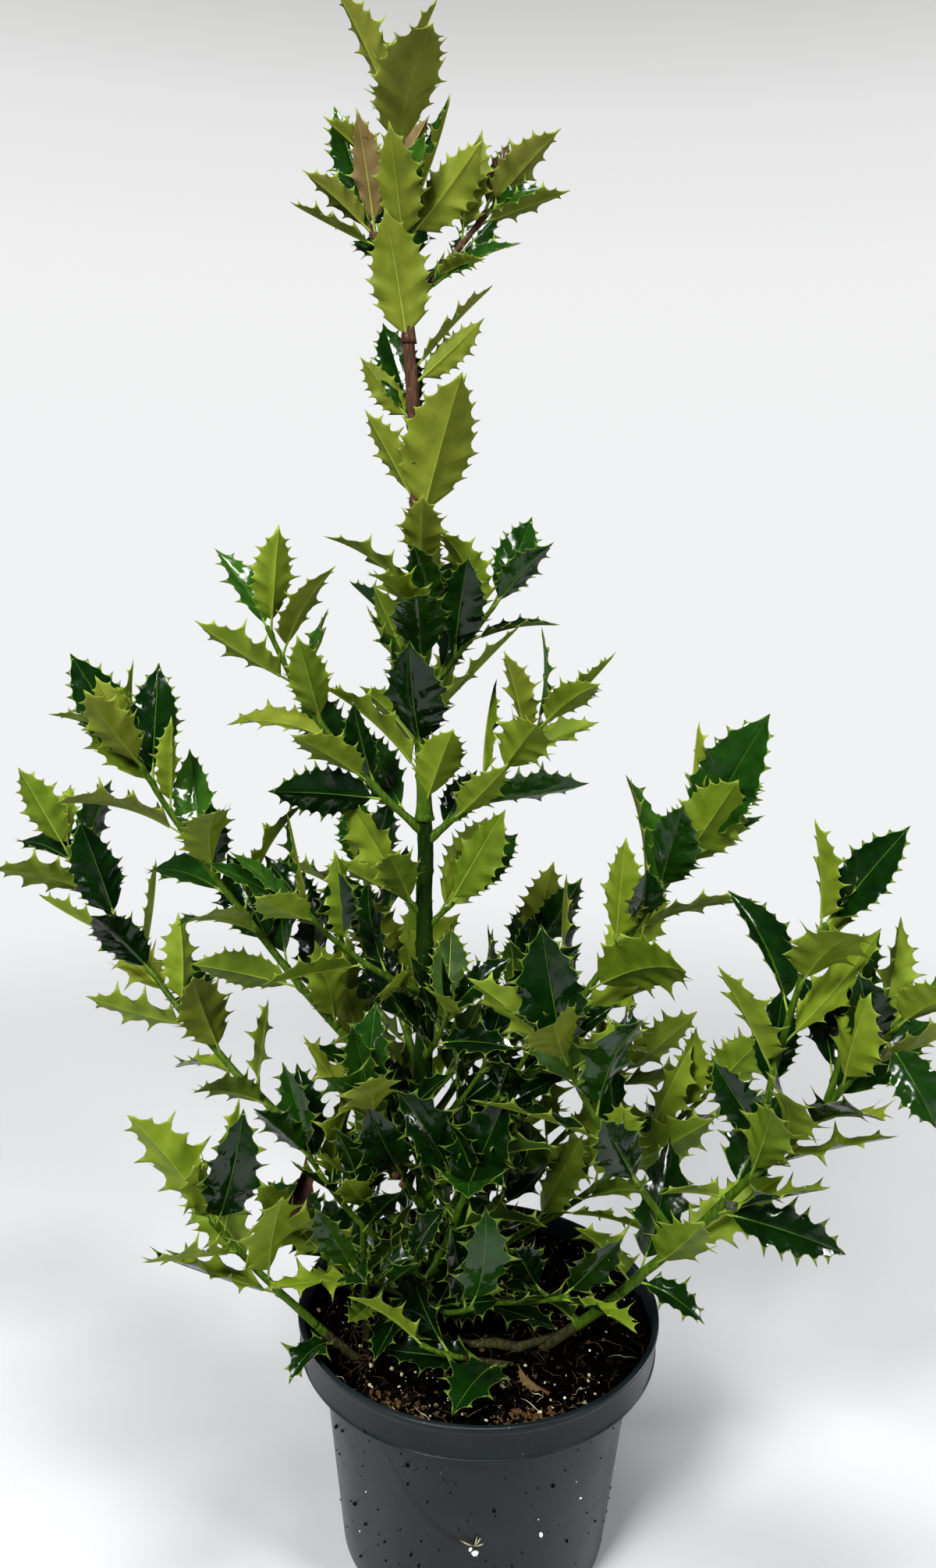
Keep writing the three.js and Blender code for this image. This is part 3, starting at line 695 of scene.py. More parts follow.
def aimed_leaf(root, tip, facing, bend, half_share, bold, tone=None):
    """A leaf from its root to its tip, with its glossy side facing one way."""
    chord = np.array(tip, dtype=float) - root
    straight = unit(chord)
    level = unit(np.array(facing) - np.dot(facing, straight) * straight)
    half_bend = math.radians(bend) / 2
    along, face = both_turned(straight, level, half_bend)
    whole = float(np.linalg.norm(chord))
    length = (whole - STALK_EXTRA) / (1 + STALK_SHARE) * half_bend / math.sin(half_bend)
    leaf = {"crowd": False, "length": length, "bold": bold, "tone": tone}
    leaf.update(bend=2 * half_bend, half=length * half_share, fold=math.radians(HAND_FOLD))
    leaf.update(ripple=length * HAND_RIPPLE, stalk=length * STALK_SHARE + STALK_EXTRA)
    leaf.update(root=root, along=along, face=face, across=np.cross(face, along))
    return leaf


def set_by_hand(row):
    """The shoot and the leaf of one row."""
    name, distance, tip, *habit = row
    shoot = all_shoots[name]
    point, (stem, _, _) = place_at(shoot, distance)
    reach = np.array(tip, dtype=float) - point
    outward = unit(reach - np.dot(reach, stem) * stem)
    root = point + ROOT_DEPTH * radius_at(shoot["row"], distance) * outward
    leaf = aimed_leaf(root, tip, *habit)
    leaf.update(distance=distance, outward=outward)
    foot = -leaf["stalk"] / leaf["length"]
    leaf["shape"] = boxed(shoot["node"], *leaf_lens(leaf, LEAF_THICKNESS, foot))
    return shoot, leaf


by_hand = [set_by_hand(row) for row in HAND_LEAVES]
shapes = [leaf["shape"] for _, leaf in by_hand]
in_the_way = [pair for pair in leaves if any(meet(pair[1]["shape"], shape) for shape in shapes)]
moved = {id(leaf["shape"]) for _, leaf in in_the_way}
taken = [shape for shape in taken if id(shape) not in moved] + shapes
leaves = [pair for pair in leaves if id(pair[1]["shape"]) not in moved] + by_hand
print("set by hand:", len(by_hand), "in the way:", len(in_the_way))
higher = [pair for pair in in_the_way if pair[1]["root"][2] > OPEN_BELOW]
print("of those, placed again:", settle_again(higher), "leaves in all:", len(leaves))

# %% [markdown]
# A few places stay bare: the compost in front of the foot, where one can look into the plant, and
# the leader's stem above its longest leaf. A grown leaf whose middle falls there is taken away.

# %% Bare places
# Each row: (x, y, z, radius)
BARE_PLACES = (
    (-22, -80, 195, 30),
    (2, -92, 222, 14),
    (40, -56, 184, 16),
    (-55, -82, 176, 12),
    (-58, -19, 743, 14),
    (-103, -76, 201, 14),
)


def in_the_open(leaf):
    """Whether a leaf's middle lies in a bare place."""
    middle = leaf["root"] + (leaf["stalk"] + 0.5 * leaf["length"]) * leaf["along"]
    return any(np.linalg.norm(middle - place) < reach for *place, reach in BARE_PLACES)


grown = len(leaves)
leaves = [pair for pair in leaves if "bold" in pair[1] or not in_the_open(pair[1])]
print("taken from bare places:", grown - len(leaves))

# %% [markdown]
# Two grown leaves on the left stand edge on to the front, bent like hooks. They are straightened
# and twisted on their stalks, so that their undersides show.

# %% Twisted leaves
TWISTED = {("left_high", 31): 60, ("left_long", 113): 50}
STRAIGHTER = 0.4
for shoot, leaf in leaves:
    twist = math.radians(TWISTED.get((shoot["row"]["name"], round(leaf["distance"])), 0))
    if twist:
        leaf["across"], leaf["face"] = both_turned(leaf["across"], leaf["face"], twist)
        leaf["bend"] *= STRAIGHTER
print("twisted leaves:", len(TWISTED))

# %% [markdown]
# ## One leaf
# A holly leaf is a stiff oval blade with three to nine spines on each side. Between two spines the
# edge is a hollow, spines bend up and down by turns, and a side vein runs from the midrib to each.
# Low leaves are the boldest: few long spines and deep hollows, to keep browsing animals off. High
# leaves have more and smaller ones. The edge is a thin pale rim.
#
# A leaf could be a flat card with its outline cut by a picture. Its outline and waves are the very
# thing that makes it holly, so it is a real mesh. Its columns follow the side veins out to the
# spines and hollows, so that one column can be pressed in as a vein. Its rows run from the midrib
# to the rim, and the two outer rows hold the rim and the spines.

# %% Columns of a blade
SPINE_LEAN = 0.026
FIRST_SPINE = 0.14
LAST_SPINE = 0.9
SPINE_STRAY = 0.12
SPINE_LENGTHS = (0.75, 1.15)
# Between two spines: (share of the way, share of the hollow's depth, share of a spine)
SCALLOP = ((0.13, 0.36, 0.16), (0.37, 0.92, 0.0), (0.64, 1.0, 0.0), (0.87, 0.46, 0.18))


def blade_columns(count, hollow, draw):
    """For one side: the share along the blade, the width, the spine and the wave of each column."""
    pitch = (LAST_SPINE - FIRST_SPINE) / (count - 1)
    spines = []
    for k in range(count):
        at = FIRST_SPINE + pitch * (k + draw(-SPINE_STRAY, SPINE_STRAY))
        spines.append((at, draw(*SPINE_LENGTHS)))
    ends = [at for at, _ in spines[1:]] + [1.0]
    columns = [(0.0, 1.0, 0.0, -1.0), (0.045, 0.9, 0.0, -0.5)]
    for k, ((at, spine), end) in enumerate(zip(spines, ends)):
        columns.append((at, 0.97, spine, k))
        for way, depth, share in SCALLOP:
            columns.append((at + way * (end - at) * 0.97, 1.0 - hollow * depth, share, k + way))
    return np.array(columns).T


shares, widths, spikes, phases = blade_columns(7, 0.2, stream(5))
print("columns in a blade of seven spines:", len(shares))

# %% [markdown]
# ### Bending the blade
# The flat outline becomes a leaf in three moves. The halves fold up along the midrib, the whole
# blade bends along a circle, and the edge ripples, most at the rim and not at all at the midrib.
# Veins are pressed into the upper face, so the underside shows them as low ribs.

# %% Surface of a blade
ROWS = (0.0, 0.3, 0.58, 0.83)
LEAST_WIDTH = 0.04
END_SPINES = 0.4
RIM_WIDTH = 0.27
RIM_SHARE = 0.6
MIDRIB_WIDTH = 0.5
MIDRIB_TAPER = 1.15
MIDRIB_SHARE = 0.3
BLADE_THICKNESS = 0.55
VEIN_SLANT = 0.14
VEIN_DEPTH = 0.08
MIDRIB_DEPTH = 0.3
MIDRIB_BULGE = 0.55
LOW_WAVE = 0.54
LOW_WAVE_SIZE = 0.55
SPINE_RISE = 0.45
TIP_SPINE = 3.6


def half_blade(leaf, side, columns, wave, twist):
    """Points of one half's upper face: a row of points for each column, from midrib to rim."""
    shares, widths, spikes, phases = columns
    half = leaf["half"]
    smooth = half * np.maximum(blade_width(shares), LEAST_WIDTH) * widths
    smooth[0] = STALK_HALF_WIDTH
    spine = wave["spine"] * spikes * (1 - END_SPINES + END_SPINES * blade_width(shares))
    rim = np.maximum(smooth - RIM_WIDTH, RIM_SHARE * smooth)
    midrib = np.minimum(MIDRIB_WIDTH * (MIDRIB_TAPER - shares), MIDRIB_SHARE * smooth)
    inner = [midrib] + [midrib + (rim - midrib) * row for row in ROWS[1:]]
    across = np.stack([np.zeros_like(smooth), *inner, rim, smooth + spine], 1)
    edge = across[:, -2:-1]
    inward = 1.0 - np.minimum(across / edge, 1.0)
    u = shares[:, None] - VEIN_SLANT * np.sin(np.pi * shares)[:, None] * inward
    u[:, -1] += SPINE_LEAN * spikes
    v = across / half
    envelope = np.sin(np.pi * np.clip(u, 0.0, 1.0)) ** 0.6
    high = wave["size"] * np.cos(np.pi * phases + wave["phase"])[:, None]
    low = LOW_WAVE_SIZE * np.cos(2 * np.pi * (u - SPINES[0]) / LOW_WAVE)
    ripple = leaf["ripple"] * v**2 * envelope * (high + low)
    to_spine = np.where(spikes > 0.5, 1.0, 0.0)[:, None]
    vein = to_spine * np.sin(np.pi * np.clip(v / v[:, -1:], 0, 1)) ** 0.7
    groove = -VEIN_DEPTH * vein * (1.1 - u)
    groove[:, 0] = -MIDRIB_DEPTH * (1.0 - 0.7 * shares)
    lift = across * math.sin(leaf["fold"]) + ripple + groove
    lift[:, -1] += SPINE_RISE * spine * np.cos(np.pi * phases + wave["phase"])
    flat = side * across * math.cos(leaf["fold"])
    return bent(leaf, u, *both_turned(flat, lift, -twist * u))


def bent(leaf, u, y, lift):
    """Points at shares u along the bent blade, y across it and lift off it."""
    bend = leaf["bend"] if abs(leaf["bend"]) > 0.01 else 0.01
    length = leaf["length"]
    forward = leaf["stalk"] + length * np.sin(bend * u) / bend - lift * -np.sin(bend * u)
    drop = length * (1 - np.cos(bend * u)) / bend - lift * np.cos(bend * u)
    return (
        leaf["root"]
        + forward[..., None] * leaf["along"]
        - drop[..., None] * leaf["face"]
        + y[..., None] * leaf["across"]
    )


# %% [markdown]
# ### Closing the blade
# The upper face and the underside share their rim, so each leaf is one closed body, half a
# millimetre thick and thickest at the midrib. The short stalk is a little tube. The faces are
# numbered once for each count of columns and used again.
#
# Colour by place comes from the faces: the rim, the midrib, the two sides and the stalk are each a
# finish of their own. A painted picture could do this too, but plain finishes stay sharp close up.

# %% Faces of a blade
# The kind of a lower face is one more than that of the upper face
UPPER, UNDER, RIM_UPPER, RIM_UNDER, MIDRIB_UPPER, MIDRIB_UNDER, STALK = range(7)
ACROSS = len(ROWS) + 3
WIDE = 2 * ACROSS - 1
STALK_SIDES = 6
STALK_RINGS = 4
FACE_CORNERS = ((0, 0), (0, 1), (1, 1), (1, 0))


@cache
def blade_faces(count):
    """(faces of four corners, kinds, faces of three corners, kinds) of a leaf of count columns."""
    under = count * WIDE
    narrow = WIDE - 2

    def corner(column, row, below):
        if not below or row in (0, WIDE - 1):
            return column * WIDE + row
        return under + column * narrow + row - 1

    quads, quad_kinds, triangles, triangle_kinds = [], [], [], []
    tip = under + count * narrow
    foot = tip + 1
    for below in (False, True):
        for row in range(WIDE - 1):
            from_middle = min(abs(row + 1 - ACROSS), abs(row + 2 - ACROSS))
            kind = {0: MIDRIB_UPPER, ACROSS - 2: RIM_UPPER}.get(from_middle, UPPER) + below
            for column in range(count - 1):
                face = [corner(column + i, row + j, below) for i, j in FACE_CORNERS]
                quads.append(face[::-1] if below else face)
                quad_kinds.append(kind)
            last = [corner(count - 1, row, below), corner(count - 1, row + 1, below), tip]
            first = [corner(0, row + 1, below), corner(0, row, below), foot]
            for face in (last, first):
                triangles.append(face[::-1] if below else face)
                triangle_kinds.append(kind)
    start = foot + 1
    ends = start + STALK_RINGS * STALK_SIDES
    stalk = ring_quads(STALK_RINGS, STALK_SIDES, start)
    caps = cap_triangles(start, ends - STALK_SIDES, ends, ends + 1, STALK_SIDES)
    quads += stalk
    quad_kinds += [STALK] * len(stalk)
    triangles += caps
    triangle_kinds += [STALK] * len(caps)
    return [np.array(part) for part in (quads, quad_kinds, triangles, triangle_kinds)]


print("faces of a leaf:", [len(part) for part in blade_faces(len(shares))[::2]])

# %% [markdown]
# The stalk is thickest where it leaves the stem and thins towards the midrib.

# %% Points of a whole leaf
STALK_RADII = (1.5, 0.95, 0.85, 0.8)
STALK_STEPS = (-0.2, 0.35, 0.8, 1.25)
STALK_SINK = 0.3
STALK_FLATNESS = 0.75
LOW_CROWN = 330
LOW_BOLDNESS = 0.45
SHORT_BLADE = 42
USUAL_BLADE = 60
BLADE_TWIST = 16
COUNT_STRAY = 0.4
# Each pair: (what the plainest leaf has, what the boldest one has more)
SPINE_COUNT = (9.2, -4.2)
HOLLOW_DEPTH = (0.1, 0.24)
SPINE_SIZE = (2.7, 3.3)
WAVE_SIZE = (0.45, 1.25)
EDGE_THICKNESS = (0.0, 0.35, 0.8, 1.0, 1.0, 1.0)


def by_boldness(pair, bold):
    """A measure that grows with a leaf's boldness."""
    return pair[0] + pair[1] * bold


def stalk_points(leaf):
    """Rings of the stalk, its two end points last."""
    rings = []
    for step, radius in zip(STALK_STEPS, STALK_RADII):
        middle = leaf["root"] + (step * leaf["stalk"]) * leaf["along"] - STALK_SINK * leaf["face"]
        over = STALK_FLATNESS * leaf["face"]
        rings.append(ring(middle, leaf["across"], over, radius, STALK_SIDES))
    ends = [rings[0].mean(0), rings[-1].mean(0) + 0.8 * leaf["along"]]
    return np.concatenate([*rings, ends])


def leaf_points(leaf, seed):
    """(count of columns, points) of a whole leaf."""
    draw = stream(seed)
    low = LOW_BOLDNESS if leaf["root"][2] < LOW_CROWN else 0.0
    bold = leaf.get("bold", 0.5 * draw(0, 1) + low)
    fewer = 1 if leaf["length"] < SHORT_BLADE else 0
    count = int(by_boldness(SPINE_COUNT, bold) - fewer + draw(-COUNT_STRAY, COUNT_STRAY))
    hollow = by_boldness(HOLLOW_DEPTH, bold)
    spine = by_boldness(SPINE_SIZE, bold) * (0.5 + 0.5 * leaf["length"] / USUAL_BLADE)
    twist = math.radians(draw(-BLADE_TWIST, BLADE_TWIST))
    halves = []
    for side in (1, -1):
        columns = blade_columns(count, hollow, draw)
        wave = {"size": draw(0.8, 1.2) * by_boldness(WAVE_SIZE, bold), "spine": spine}
        wave["phase"] = draw(-0.5, 0.5) + (0 if side > 0 else 0.6)
        halves.append(half_blade(leaf, side, columns, wave, twist))
    right, left = halves
    middle = 0.5 * (right[:, :1] + left[:, :1])
    upper = np.concatenate([right[:, :0:-1], middle, left[:, 1:]], 1)
    columns = upper.shape[0]
    thick = BLADE_THICKNESS * np.array([*EDGE_THICKNESS, 1.0, *EDGE_THICKNESS[::-1]])
    depth = thick[None, :] * np.ones((columns, 1))
    bulge = MIDRIB_BULGE * (1.0 - 0.75 * np.linspace(0.0, 1.0, columns))
    depth[:, ACROSS - 1] += bulge
    under = upper[:, 1:-1] - depth[:, 1:-1, None] * leaf["face"]
    tip = bent(leaf, np.array([1.0 + TIP_SPINE / leaf["length"]]), np.zeros(1), np.zeros(1))
    foot = bent(leaf, np.array([BLADE_FOOT]), np.zeros(1), np.array([-STALK_SINK]))
    parts = [upper.reshape(-1, 3), under.reshape(-1, 3), tip, foot, stalk_points(leaf)]
    return columns, np.concatenate(parts)


columns, points = leaf_points(leaves[0][1], 1)
print("points of a leaf:", len(points), "columns:", columns)

# %% [markdown]
# ## Finishes
# Every surface gets a finish built from nodes: a base colour that varies softly, a roughness and a
# fine bump. A picture of a leaf would be quicker to wire up, but it has seams and one sharpness,
# while noise made in place has neither. All patterns use object coordinates, in metres, so a noise
# scale of 100 makes spots about a centimetre wide.

# %% Helpers for finishes
def wire(tree, node, inputs):
    """Sets a node's inputs. Each value is a number, a colour, or a socket to link from."""
    for name, value in inputs.items():
        socket = node.inputs[name]
        if isinstance(value, bpy.types.NodeSocket):
            tree.links.new(value, socket)
        else:
            socket.default_value = (*value, 1.0) if socket.type == "RGBA" else value


def add(tree, kind, inputs, **settings):
    """A new shader node with its settings and inputs."""
    node = tree.nodes.new("ShaderNode" + kind)
    for name, value in settings.items():
        setattr(node, name, value)
    wire(tree, node, inputs)
    return node


def dress(tree, inputs):
    """Sets inputs of a finish's main shader."""
    wire(tree, tree.nodes["Principled BSDF"], inputs)


def new_finish(name, roughness, gloss=0.5):
    """(material, its node tree)."""
    finish = bpy.data.materials.new(name)
    finish.use_nodes = True
    dress(finish.node_tree, {"Roughness": roughness, "Specular IOR Level": gloss})
    return finish, finish.node_tree


print("node helpers ready")

# %% Patterns
def noise(tree, scale, detail=3.0, stretch=None, roughness=0.5):
    """A noise in object coordinates, stretched if asked."""
    place = add(tree, "TexCoord", {}).outputs["Object"]
    if stretch:
        place = add(tree, "Mapping", {"Vector": place, "Scale": stretch}).outputs["Vector"]
    inputs = {"Vector": place, "Scale": scale, "Detail": detail, "Roughness": roughness}
    return add(tree, "TexNoise", inputs).outputs["Fac"]


def cells(tree, scale, feature="F1"):
    """How far each place is from the core, or from the edge, of its cell."""
    place = add(tree, "TexCoord", {}).outputs["Object"]
    inputs = {"Vector": place, "Scale": scale}
    return add(tree, "TexVoronoi", inputs, feature=feature).outputs["Distance"]


def ramp(tree, source, *stops):
    """A colour ramp. Stops are (place, colour), and a single number is a grey."""
    node = add(tree, "ValToRGB", {"Fac": source})
    elements = node.color_ramp.elements
    for index, (place, colour) in enumerate(stops):
        element = elements[index] if index < 2 else elements.new(place)
        element.position = place
        element.color = (*np.broadcast_to(colour, 3), 1.0)
    return node.outputs["Color"]


def mixed(tree, share, first, second, blend="MIX"):
    """Two colours mixed by a share."""
    inputs = {"Factor": share, "A": first, "B": second}
    return add(tree, "Mix", inputs, data_type="RGBA", blend_type=blend).outputs["Result"]


def arithmetic(tree, operation, *values):
    """A math node's result. Each value is a number or a socket."""
    return add(tree, "Math", dict(enumerate(values)), operation=operation).outputs["Value"]


def bump(tree, height, depth, strength=1.0, **below):
    """A bump of a given depth in metres, laid over another where Normal is given."""
    inputs = {"Height": height, "Distance": depth, "Strength": strength, **below}
    return add(tree, "Bump", inputs).outputs["Normal"]


print("pattern helpers ready")

# %% [markdown]
# ### Leaf finishes
# The upper face is dark and wet, with a waxy skin that mirrors the light. The underside is matt and
# yellow-green, a little mottled by its fine net of veins. Young leaves are lighter, and the very
# youngest are flushed with bronze. Each tone is a finish of its own, dealt out leaf by leaf. The
# darkest tone is painted shade, and the underside's darker and lighter greens are partly painted
# shade and painted light.

# %% Leaf finishes
MOTTLE_SCALE = 95.0
NET_SCALE = 420.0
GLOSS_SCALE = 160.0
PUCKER_SCALE = 80.0


def leaf_finish(name, dark, light, roughness, gloss, net_depth=0.0, pucker=0.0):
    """Mottled between two greens, with a fine net. Roughness wanders between (low, high)."""
    finish, tree = new_finish(name, roughness[0], gloss)
    greens = ramp(tree, noise(tree, MOTTLE_SCALE, 5.0), (0.32, dark), (0.68, light))
    sheen = ramp(tree, noise(tree, GLOSS_SCALE), (0.4, roughness[0]), (0.6, roughness[1]))
    below = {}
    if pucker:
        below["Normal"] = bump(tree, noise(tree, PUCKER_SCALE, 2.0), pucker)
    net = bump(tree, cells(tree, NET_SCALE, "DISTANCE_TO_EDGE"), net_depth, 0.6, **below)
    dress(tree, {"Base Color": greens, "Roughness": sheen, "Normal": net})
    return finish


GLOSSY = (0.08, 0.2)
MATT = (0.5, 0.66)
WAX = 0.3
DULL = 0.14
PUCKER = 1.2e-3
NET_DEPTH = 1e-4
UPPER_TONES = {
    "deep": ((0.001, 0.008, 0.0008), (0.003, 0.018, 0.0014)),
    "mid": ((0.004, 0.022, 0.0016), (0.009, 0.042, 0.003)),
    "fresh": ((0.014, 0.056, 0.004), (0.03, 0.095, 0.007)),
    "blush": ((0.045, 0.06, 0.007), (0.085, 0.1, 0.013)),
    "bronze": ((0.055, 0.024, 0.012), (0.1, 0.045, 0.018)),
    # The darkest tone is painted shade for leaves deep in the crown
    "painted_shade": ((0.0005, 0.005, 0.0005), (0.0015, 0.011, 0.001)),
}
# Off the leader, an underside's deep, mid or fresh green is partly painted shade and painted light
UNDER_TONES = {
    "deep": ((0.06, 0.106, 0.003), (0.112, 0.17, 0.007)),
    "mid": ((0.108, 0.164, 0.006), (0.172, 0.24, 0.015)),
    "fresh": ((0.1, 0.13, 0.006), (0.155, 0.19, 0.015)),
    "blush": ((0.13, 0.148, 0.012), (0.185, 0.2, 0.026)),
    "bronze": ((0.115, 0.076, 0.024), (0.17, 0.115, 0.042)),
    # The darkest underside is painted shade for leaves deep in the crown
    "painted_shade": ((0.009, 0.03, 0.001), (0.028, 0.062, 0.003)),
}
# The rims, the midribs and the stalk, in the order of their kinds
TRIM_TONES = {
    "rim_upper": ((0.05, 0.1, 0.008), (0.11, 0.17, 0.02), GLOSSY),
    "rim_under": ((0.14, 0.19, 0.016), (0.22, 0.27, 0.035), MATT),
    "midrib_upper": ((0.03, 0.08, 0.006), (0.06, 0.13, 0.012), GLOSSY),
    "midrib_under": ((0.18, 0.25, 0.024), (0.26, 0.34, 0.04), MATT),
    "stalk_green": ((0.15, 0.24, 0.022), (0.22, 0.32, 0.04), MATT),
}
LEAF_FINISHES = [
    *(leaf_finish(f"leaf_upper_{name}", *greens, GLOSSY, WAX, 0.0, PUCKER)
      for name, greens in UPPER_TONES.items()),
    *(leaf_finish(f"leaf_under_{name}", *greens, MATT, DULL, NET_DEPTH)
      for name, greens in UNDER_TONES.items()),
    *(leaf_finish(name, *look, DULL) for name, look in TRIM_TONES.items()),
]
print("leaf finishes:", len(LEAF_FINISHES))

# %% [markdown]
# ### Which leaf gets which tone
# Old leaves are darker, and leaves near a shoot's end are fresher. The last ones on the leader and
# its two side twigs blush to bronze. Leaves whose tips lie near the trunk in the lower crown get
# the darkest tone on both sides as painted shade, and shoots at the foot get darker tones as
# painted shade. An underside's tone is partly random and partly painted light, lighter near the
# end of its shoot.

# %% Tones
TOP_SHOOTS = ("leader_mid", "leader_top", "top_right", "top_left")
INNER_REACH = 80
INNER_TOP = 420
FRESH_SHOOTS = ("right_front", "right_upright", "right_long", "right_high",
                "left_long", "left_high")
# The last tone is painted shade
DEEP, FRESH, BRONZE, PAINTED_SHADE = 0, 2, 4, 5
# A leaf moves up one tone at each step
FLUSH_STEPS = (0.4, 1.08)
AGE_STEPS = (0.5, 0.84)
# An underside's tone steps up with painted light
SHADE_STEPS = (0.45, 1.0)


def leaf_tones(shoot, leaf, seed):
    """(the upper face's tone, the underside's tone), as places in the tables of tones."""
    if leaf.get("tone") is not None:
        return leaf["tone"], leaf["tone"]
    draw = stream(seed + 7000)
    row = shoot["row"]
    share = max(0.0, leaf["distance"] - row["bare"]) / max(1.0, row["length"] - row["bare"])
    luck = draw(0, 1)
    name = row["name"]
    if name in TOP_SHOOTS:
        flush = share + (0.3 if leaf["crowd"] else 0.0) - luck
        tone = FRESH + sum(flush > step for step in FLUSH_STEPS)
        return (tone if tone == BRONZE else tone - 1), tone
    # Leaves whose tips lie near the trunk in the lower crown get painted shade on both sides
    x, y, z = leaf["root"] + leaf["length"] * leaf["along"]
    if z < INNER_TOP and math.hypot(x, y) < INNER_REACH * (0.6 + 0.5 * luck):
        return PAINTED_SHADE, PAINTED_SHADE
    # Shoots at the foot get darker tones on both sides: painted shade
    shaded = name.startswith(("foot_", "low_", "spur_foot"))
    age_and_painted_shade = 0.55 * share + 0.45 * luck + (0.14 if name in FRESH_SHOOTS else -0.3 if shaded else -0.05)
    # The underside's tone is partly random and partly painted light, lighter near the shoot's end
    light = draw(0, 1) + 0.35 * share - (0.35 if shaded else 0.0)
    upper = DEEP + sum(age_and_painted_shade > step for step in AGE_STEPS)
    return upper, DEEP + sum(light > step for step in SHADE_STEPS)


# %% [markdown]
# ### Turned leaves
# Holly leaves twist on their stalks towards the light, so a shoot shows both sides of its leaves.
# Low in the crown the light comes from outside, and a leaf whose glossy side looks inwards often
# turns it out. A turned blade keeps its shape: only the finishes of its two sides change over.

# %% Turned leaves
LOW_TURNED = 0.8
HIGH_TURNED = 0.27
TOP_TURNED = 0.06
OTHER_SIDE = np.array([UNDER, UPPER, RIM_UNDER, RIM_UPPER, MIDRIB_UNDER, MIDRIB_UPPER, STALK])


def is_turned(shoot, leaf, seed):
    """Whether a leaf shows its glossy side below."""
    if "bold" in leaf:
        return False
    low = leaf["root"][2] < LOW_CROWN
    outward = leaf["root"] * (1, 1, 0)
    if low and np.dot(leaf["face"], outward) > 0:
        return False
    share = LOW_TURNED if low else TOP_TURNED if shoot["row"]["name"] in TOP_SHOOTS else HIGH_TURNED
    return stream(seed + 8000)(0, 1) < share


for seed, (shoot, leaf) in enumerate(leaves, 1):
    leaf["turned"] = is_turned(shoot, leaf, seed)
print("turned leaves:", sum(leaf["turned"] for _, leaf in leaves))

# %% [markdown]
# ## Joining the leaves
# Some four hundred objects would be slow to handle, so the leaves are joined into a few meshes, one
# for each side of the crown. Instances of one leaf would be lighter, but then every leaf would have
# the same spines.

# %% A mesh from arrays
MILLIMETRE = 0.001
tally = {}


def make_piece(name, points, quads, quad_kinds, triangles, triangle_kinds, finishes, flat=()):
    """A smooth mesh object from points in millimetres. Kinds in flat keep their facets."""
    mesh = bpy.data.meshes.new(name)
    count = len(quads) + len(triangles)
    corners = np.concatenate([np.reshape(quads, -1), np.reshape(triangles, -1)]).astype(np.int32)
    sizes = np.concatenate([np.full(len(quads), 4), np.full(len(triangles), 3)])
    starts = np.concatenate([[0], np.cumsum(sizes)[:-1]]).astype(np.int32)
    mesh.vertices.add(len(points))
    mesh.vertices.foreach_set("co", (np.asarray(points) * MILLIMETRE).astype(np.float32).ravel())
    mesh.loops.add(len(corners))
    mesh.loops.foreach_set("vertex_index", corners)
    mesh.polygons.add(count)
    mesh.polygons.foreach_set("loop_start", starts)
    kinds = np.concatenate([quad_kinds, triangle_kinds]).astype(np.int32)
    mesh.polygons.foreach_set("material_index", kinds)
    mesh.polygons.foreach_set("use_smooth", ~np.isin(kinds, flat))
    for finish in finishes:
        mesh.materials.append(finish)
    mesh.update(calc_edges=True)
    mesh.validate()
    piece = bpy.data.objects.new(name, mesh)
    scene.collection.objects.link(piece)
    tally[name] = 2 * len(quads) + len(triangles)
    return piece


print("piece maker ready")

# %% Joining
def join(name, bodies, finishes, flat=()):
    """One mesh from closed bodies: (points, quads, their kinds, triangles, their kinds)."""
    columns = [[], [], [], [], []]
    base = 0
    for points, quads, quad_kinds, triangles, triangle_kinds in bodies:
        quads = np.array(quads) + base
        triangles = np.array(triangles) + base
        body = (points, quads, quad_kinds, triangles, triangle_kinds)
        for column, part in zip(columns, body):
            column.append(part)
        base += len(points)
    return make_piece(name, *[np.concatenate(column) for column in columns], finishes, flat)


def join_leaves(name, group):
    """One mesh of many leaves. The group holds (shoot, leaf, seed)."""
    tones = len(UPPER_TONES)
    bodies = []
    for shoot, leaf, seed in group:
        upper, under = leaf_tones(shoot, leaf, seed)
        # The place in LEAF_FINISHES of each kind of face
        places = np.array([upper, tones + under, *range(2 * tones, len(LEAF_FINISHES))])
        if leaf["turned"]:
            places = places[OTHER_SIDE]
        columns, made = leaf_points(leaf, seed)
        four, four_kinds, three, three_kinds = blade_faces(columns)
        bodies.append((made, four, places[four_kinds], three, places[three_kinds]))
    return join(name, bodies, LEAF_FINISHES)


CROWN_SIDES = {
    "top": ("leader_", "top_", "left_high", "right_high", "right_spur", "front_spur"),
    "left": ("left_",),
    "right": ("right_",),
    "back": ("back_", "low_back"),
    "foot": ("foot_", "low_", "spur_foot"),
    "middle": ("",),
}


def crown_side(name):
    """Which side of the crown a shoot belongs to: the first whose names fit."""
    return next(side for side, starts in CROWN_SIDES.items() if name.startswith(starts))


groups = {side: [] for side in CROWN_SIDES}
for seed, (shoot, leaf) in enumerate(leaves, 1):
    groups[crown_side(shoot["row"]["name"])].append((shoot, leaf, seed))
leaf_pieces = {side: join_leaves(f"leaves_{side}", group) for side, group in groups.items()}
print("leaves:", {side: len(group) for side, group in groups.items()})
print("triangles:", tally)

# %% [markdown]
# ## Trunk, boughs and twigs
# Young holly wood is smooth and green. Under each leaf stalk it swells into a small cushion, and a
# low ridge runs down from it. The foot of the trunk is older: greyer, ringed by old leaf scars and
# flecked with corky spots. The leader turns purple-brown towards its tip.
#
# A bevelled curve would give even pipes. A limb is built ring by ring instead, because each ring
# can then swell at its own leaves and flare where it joins its parent.

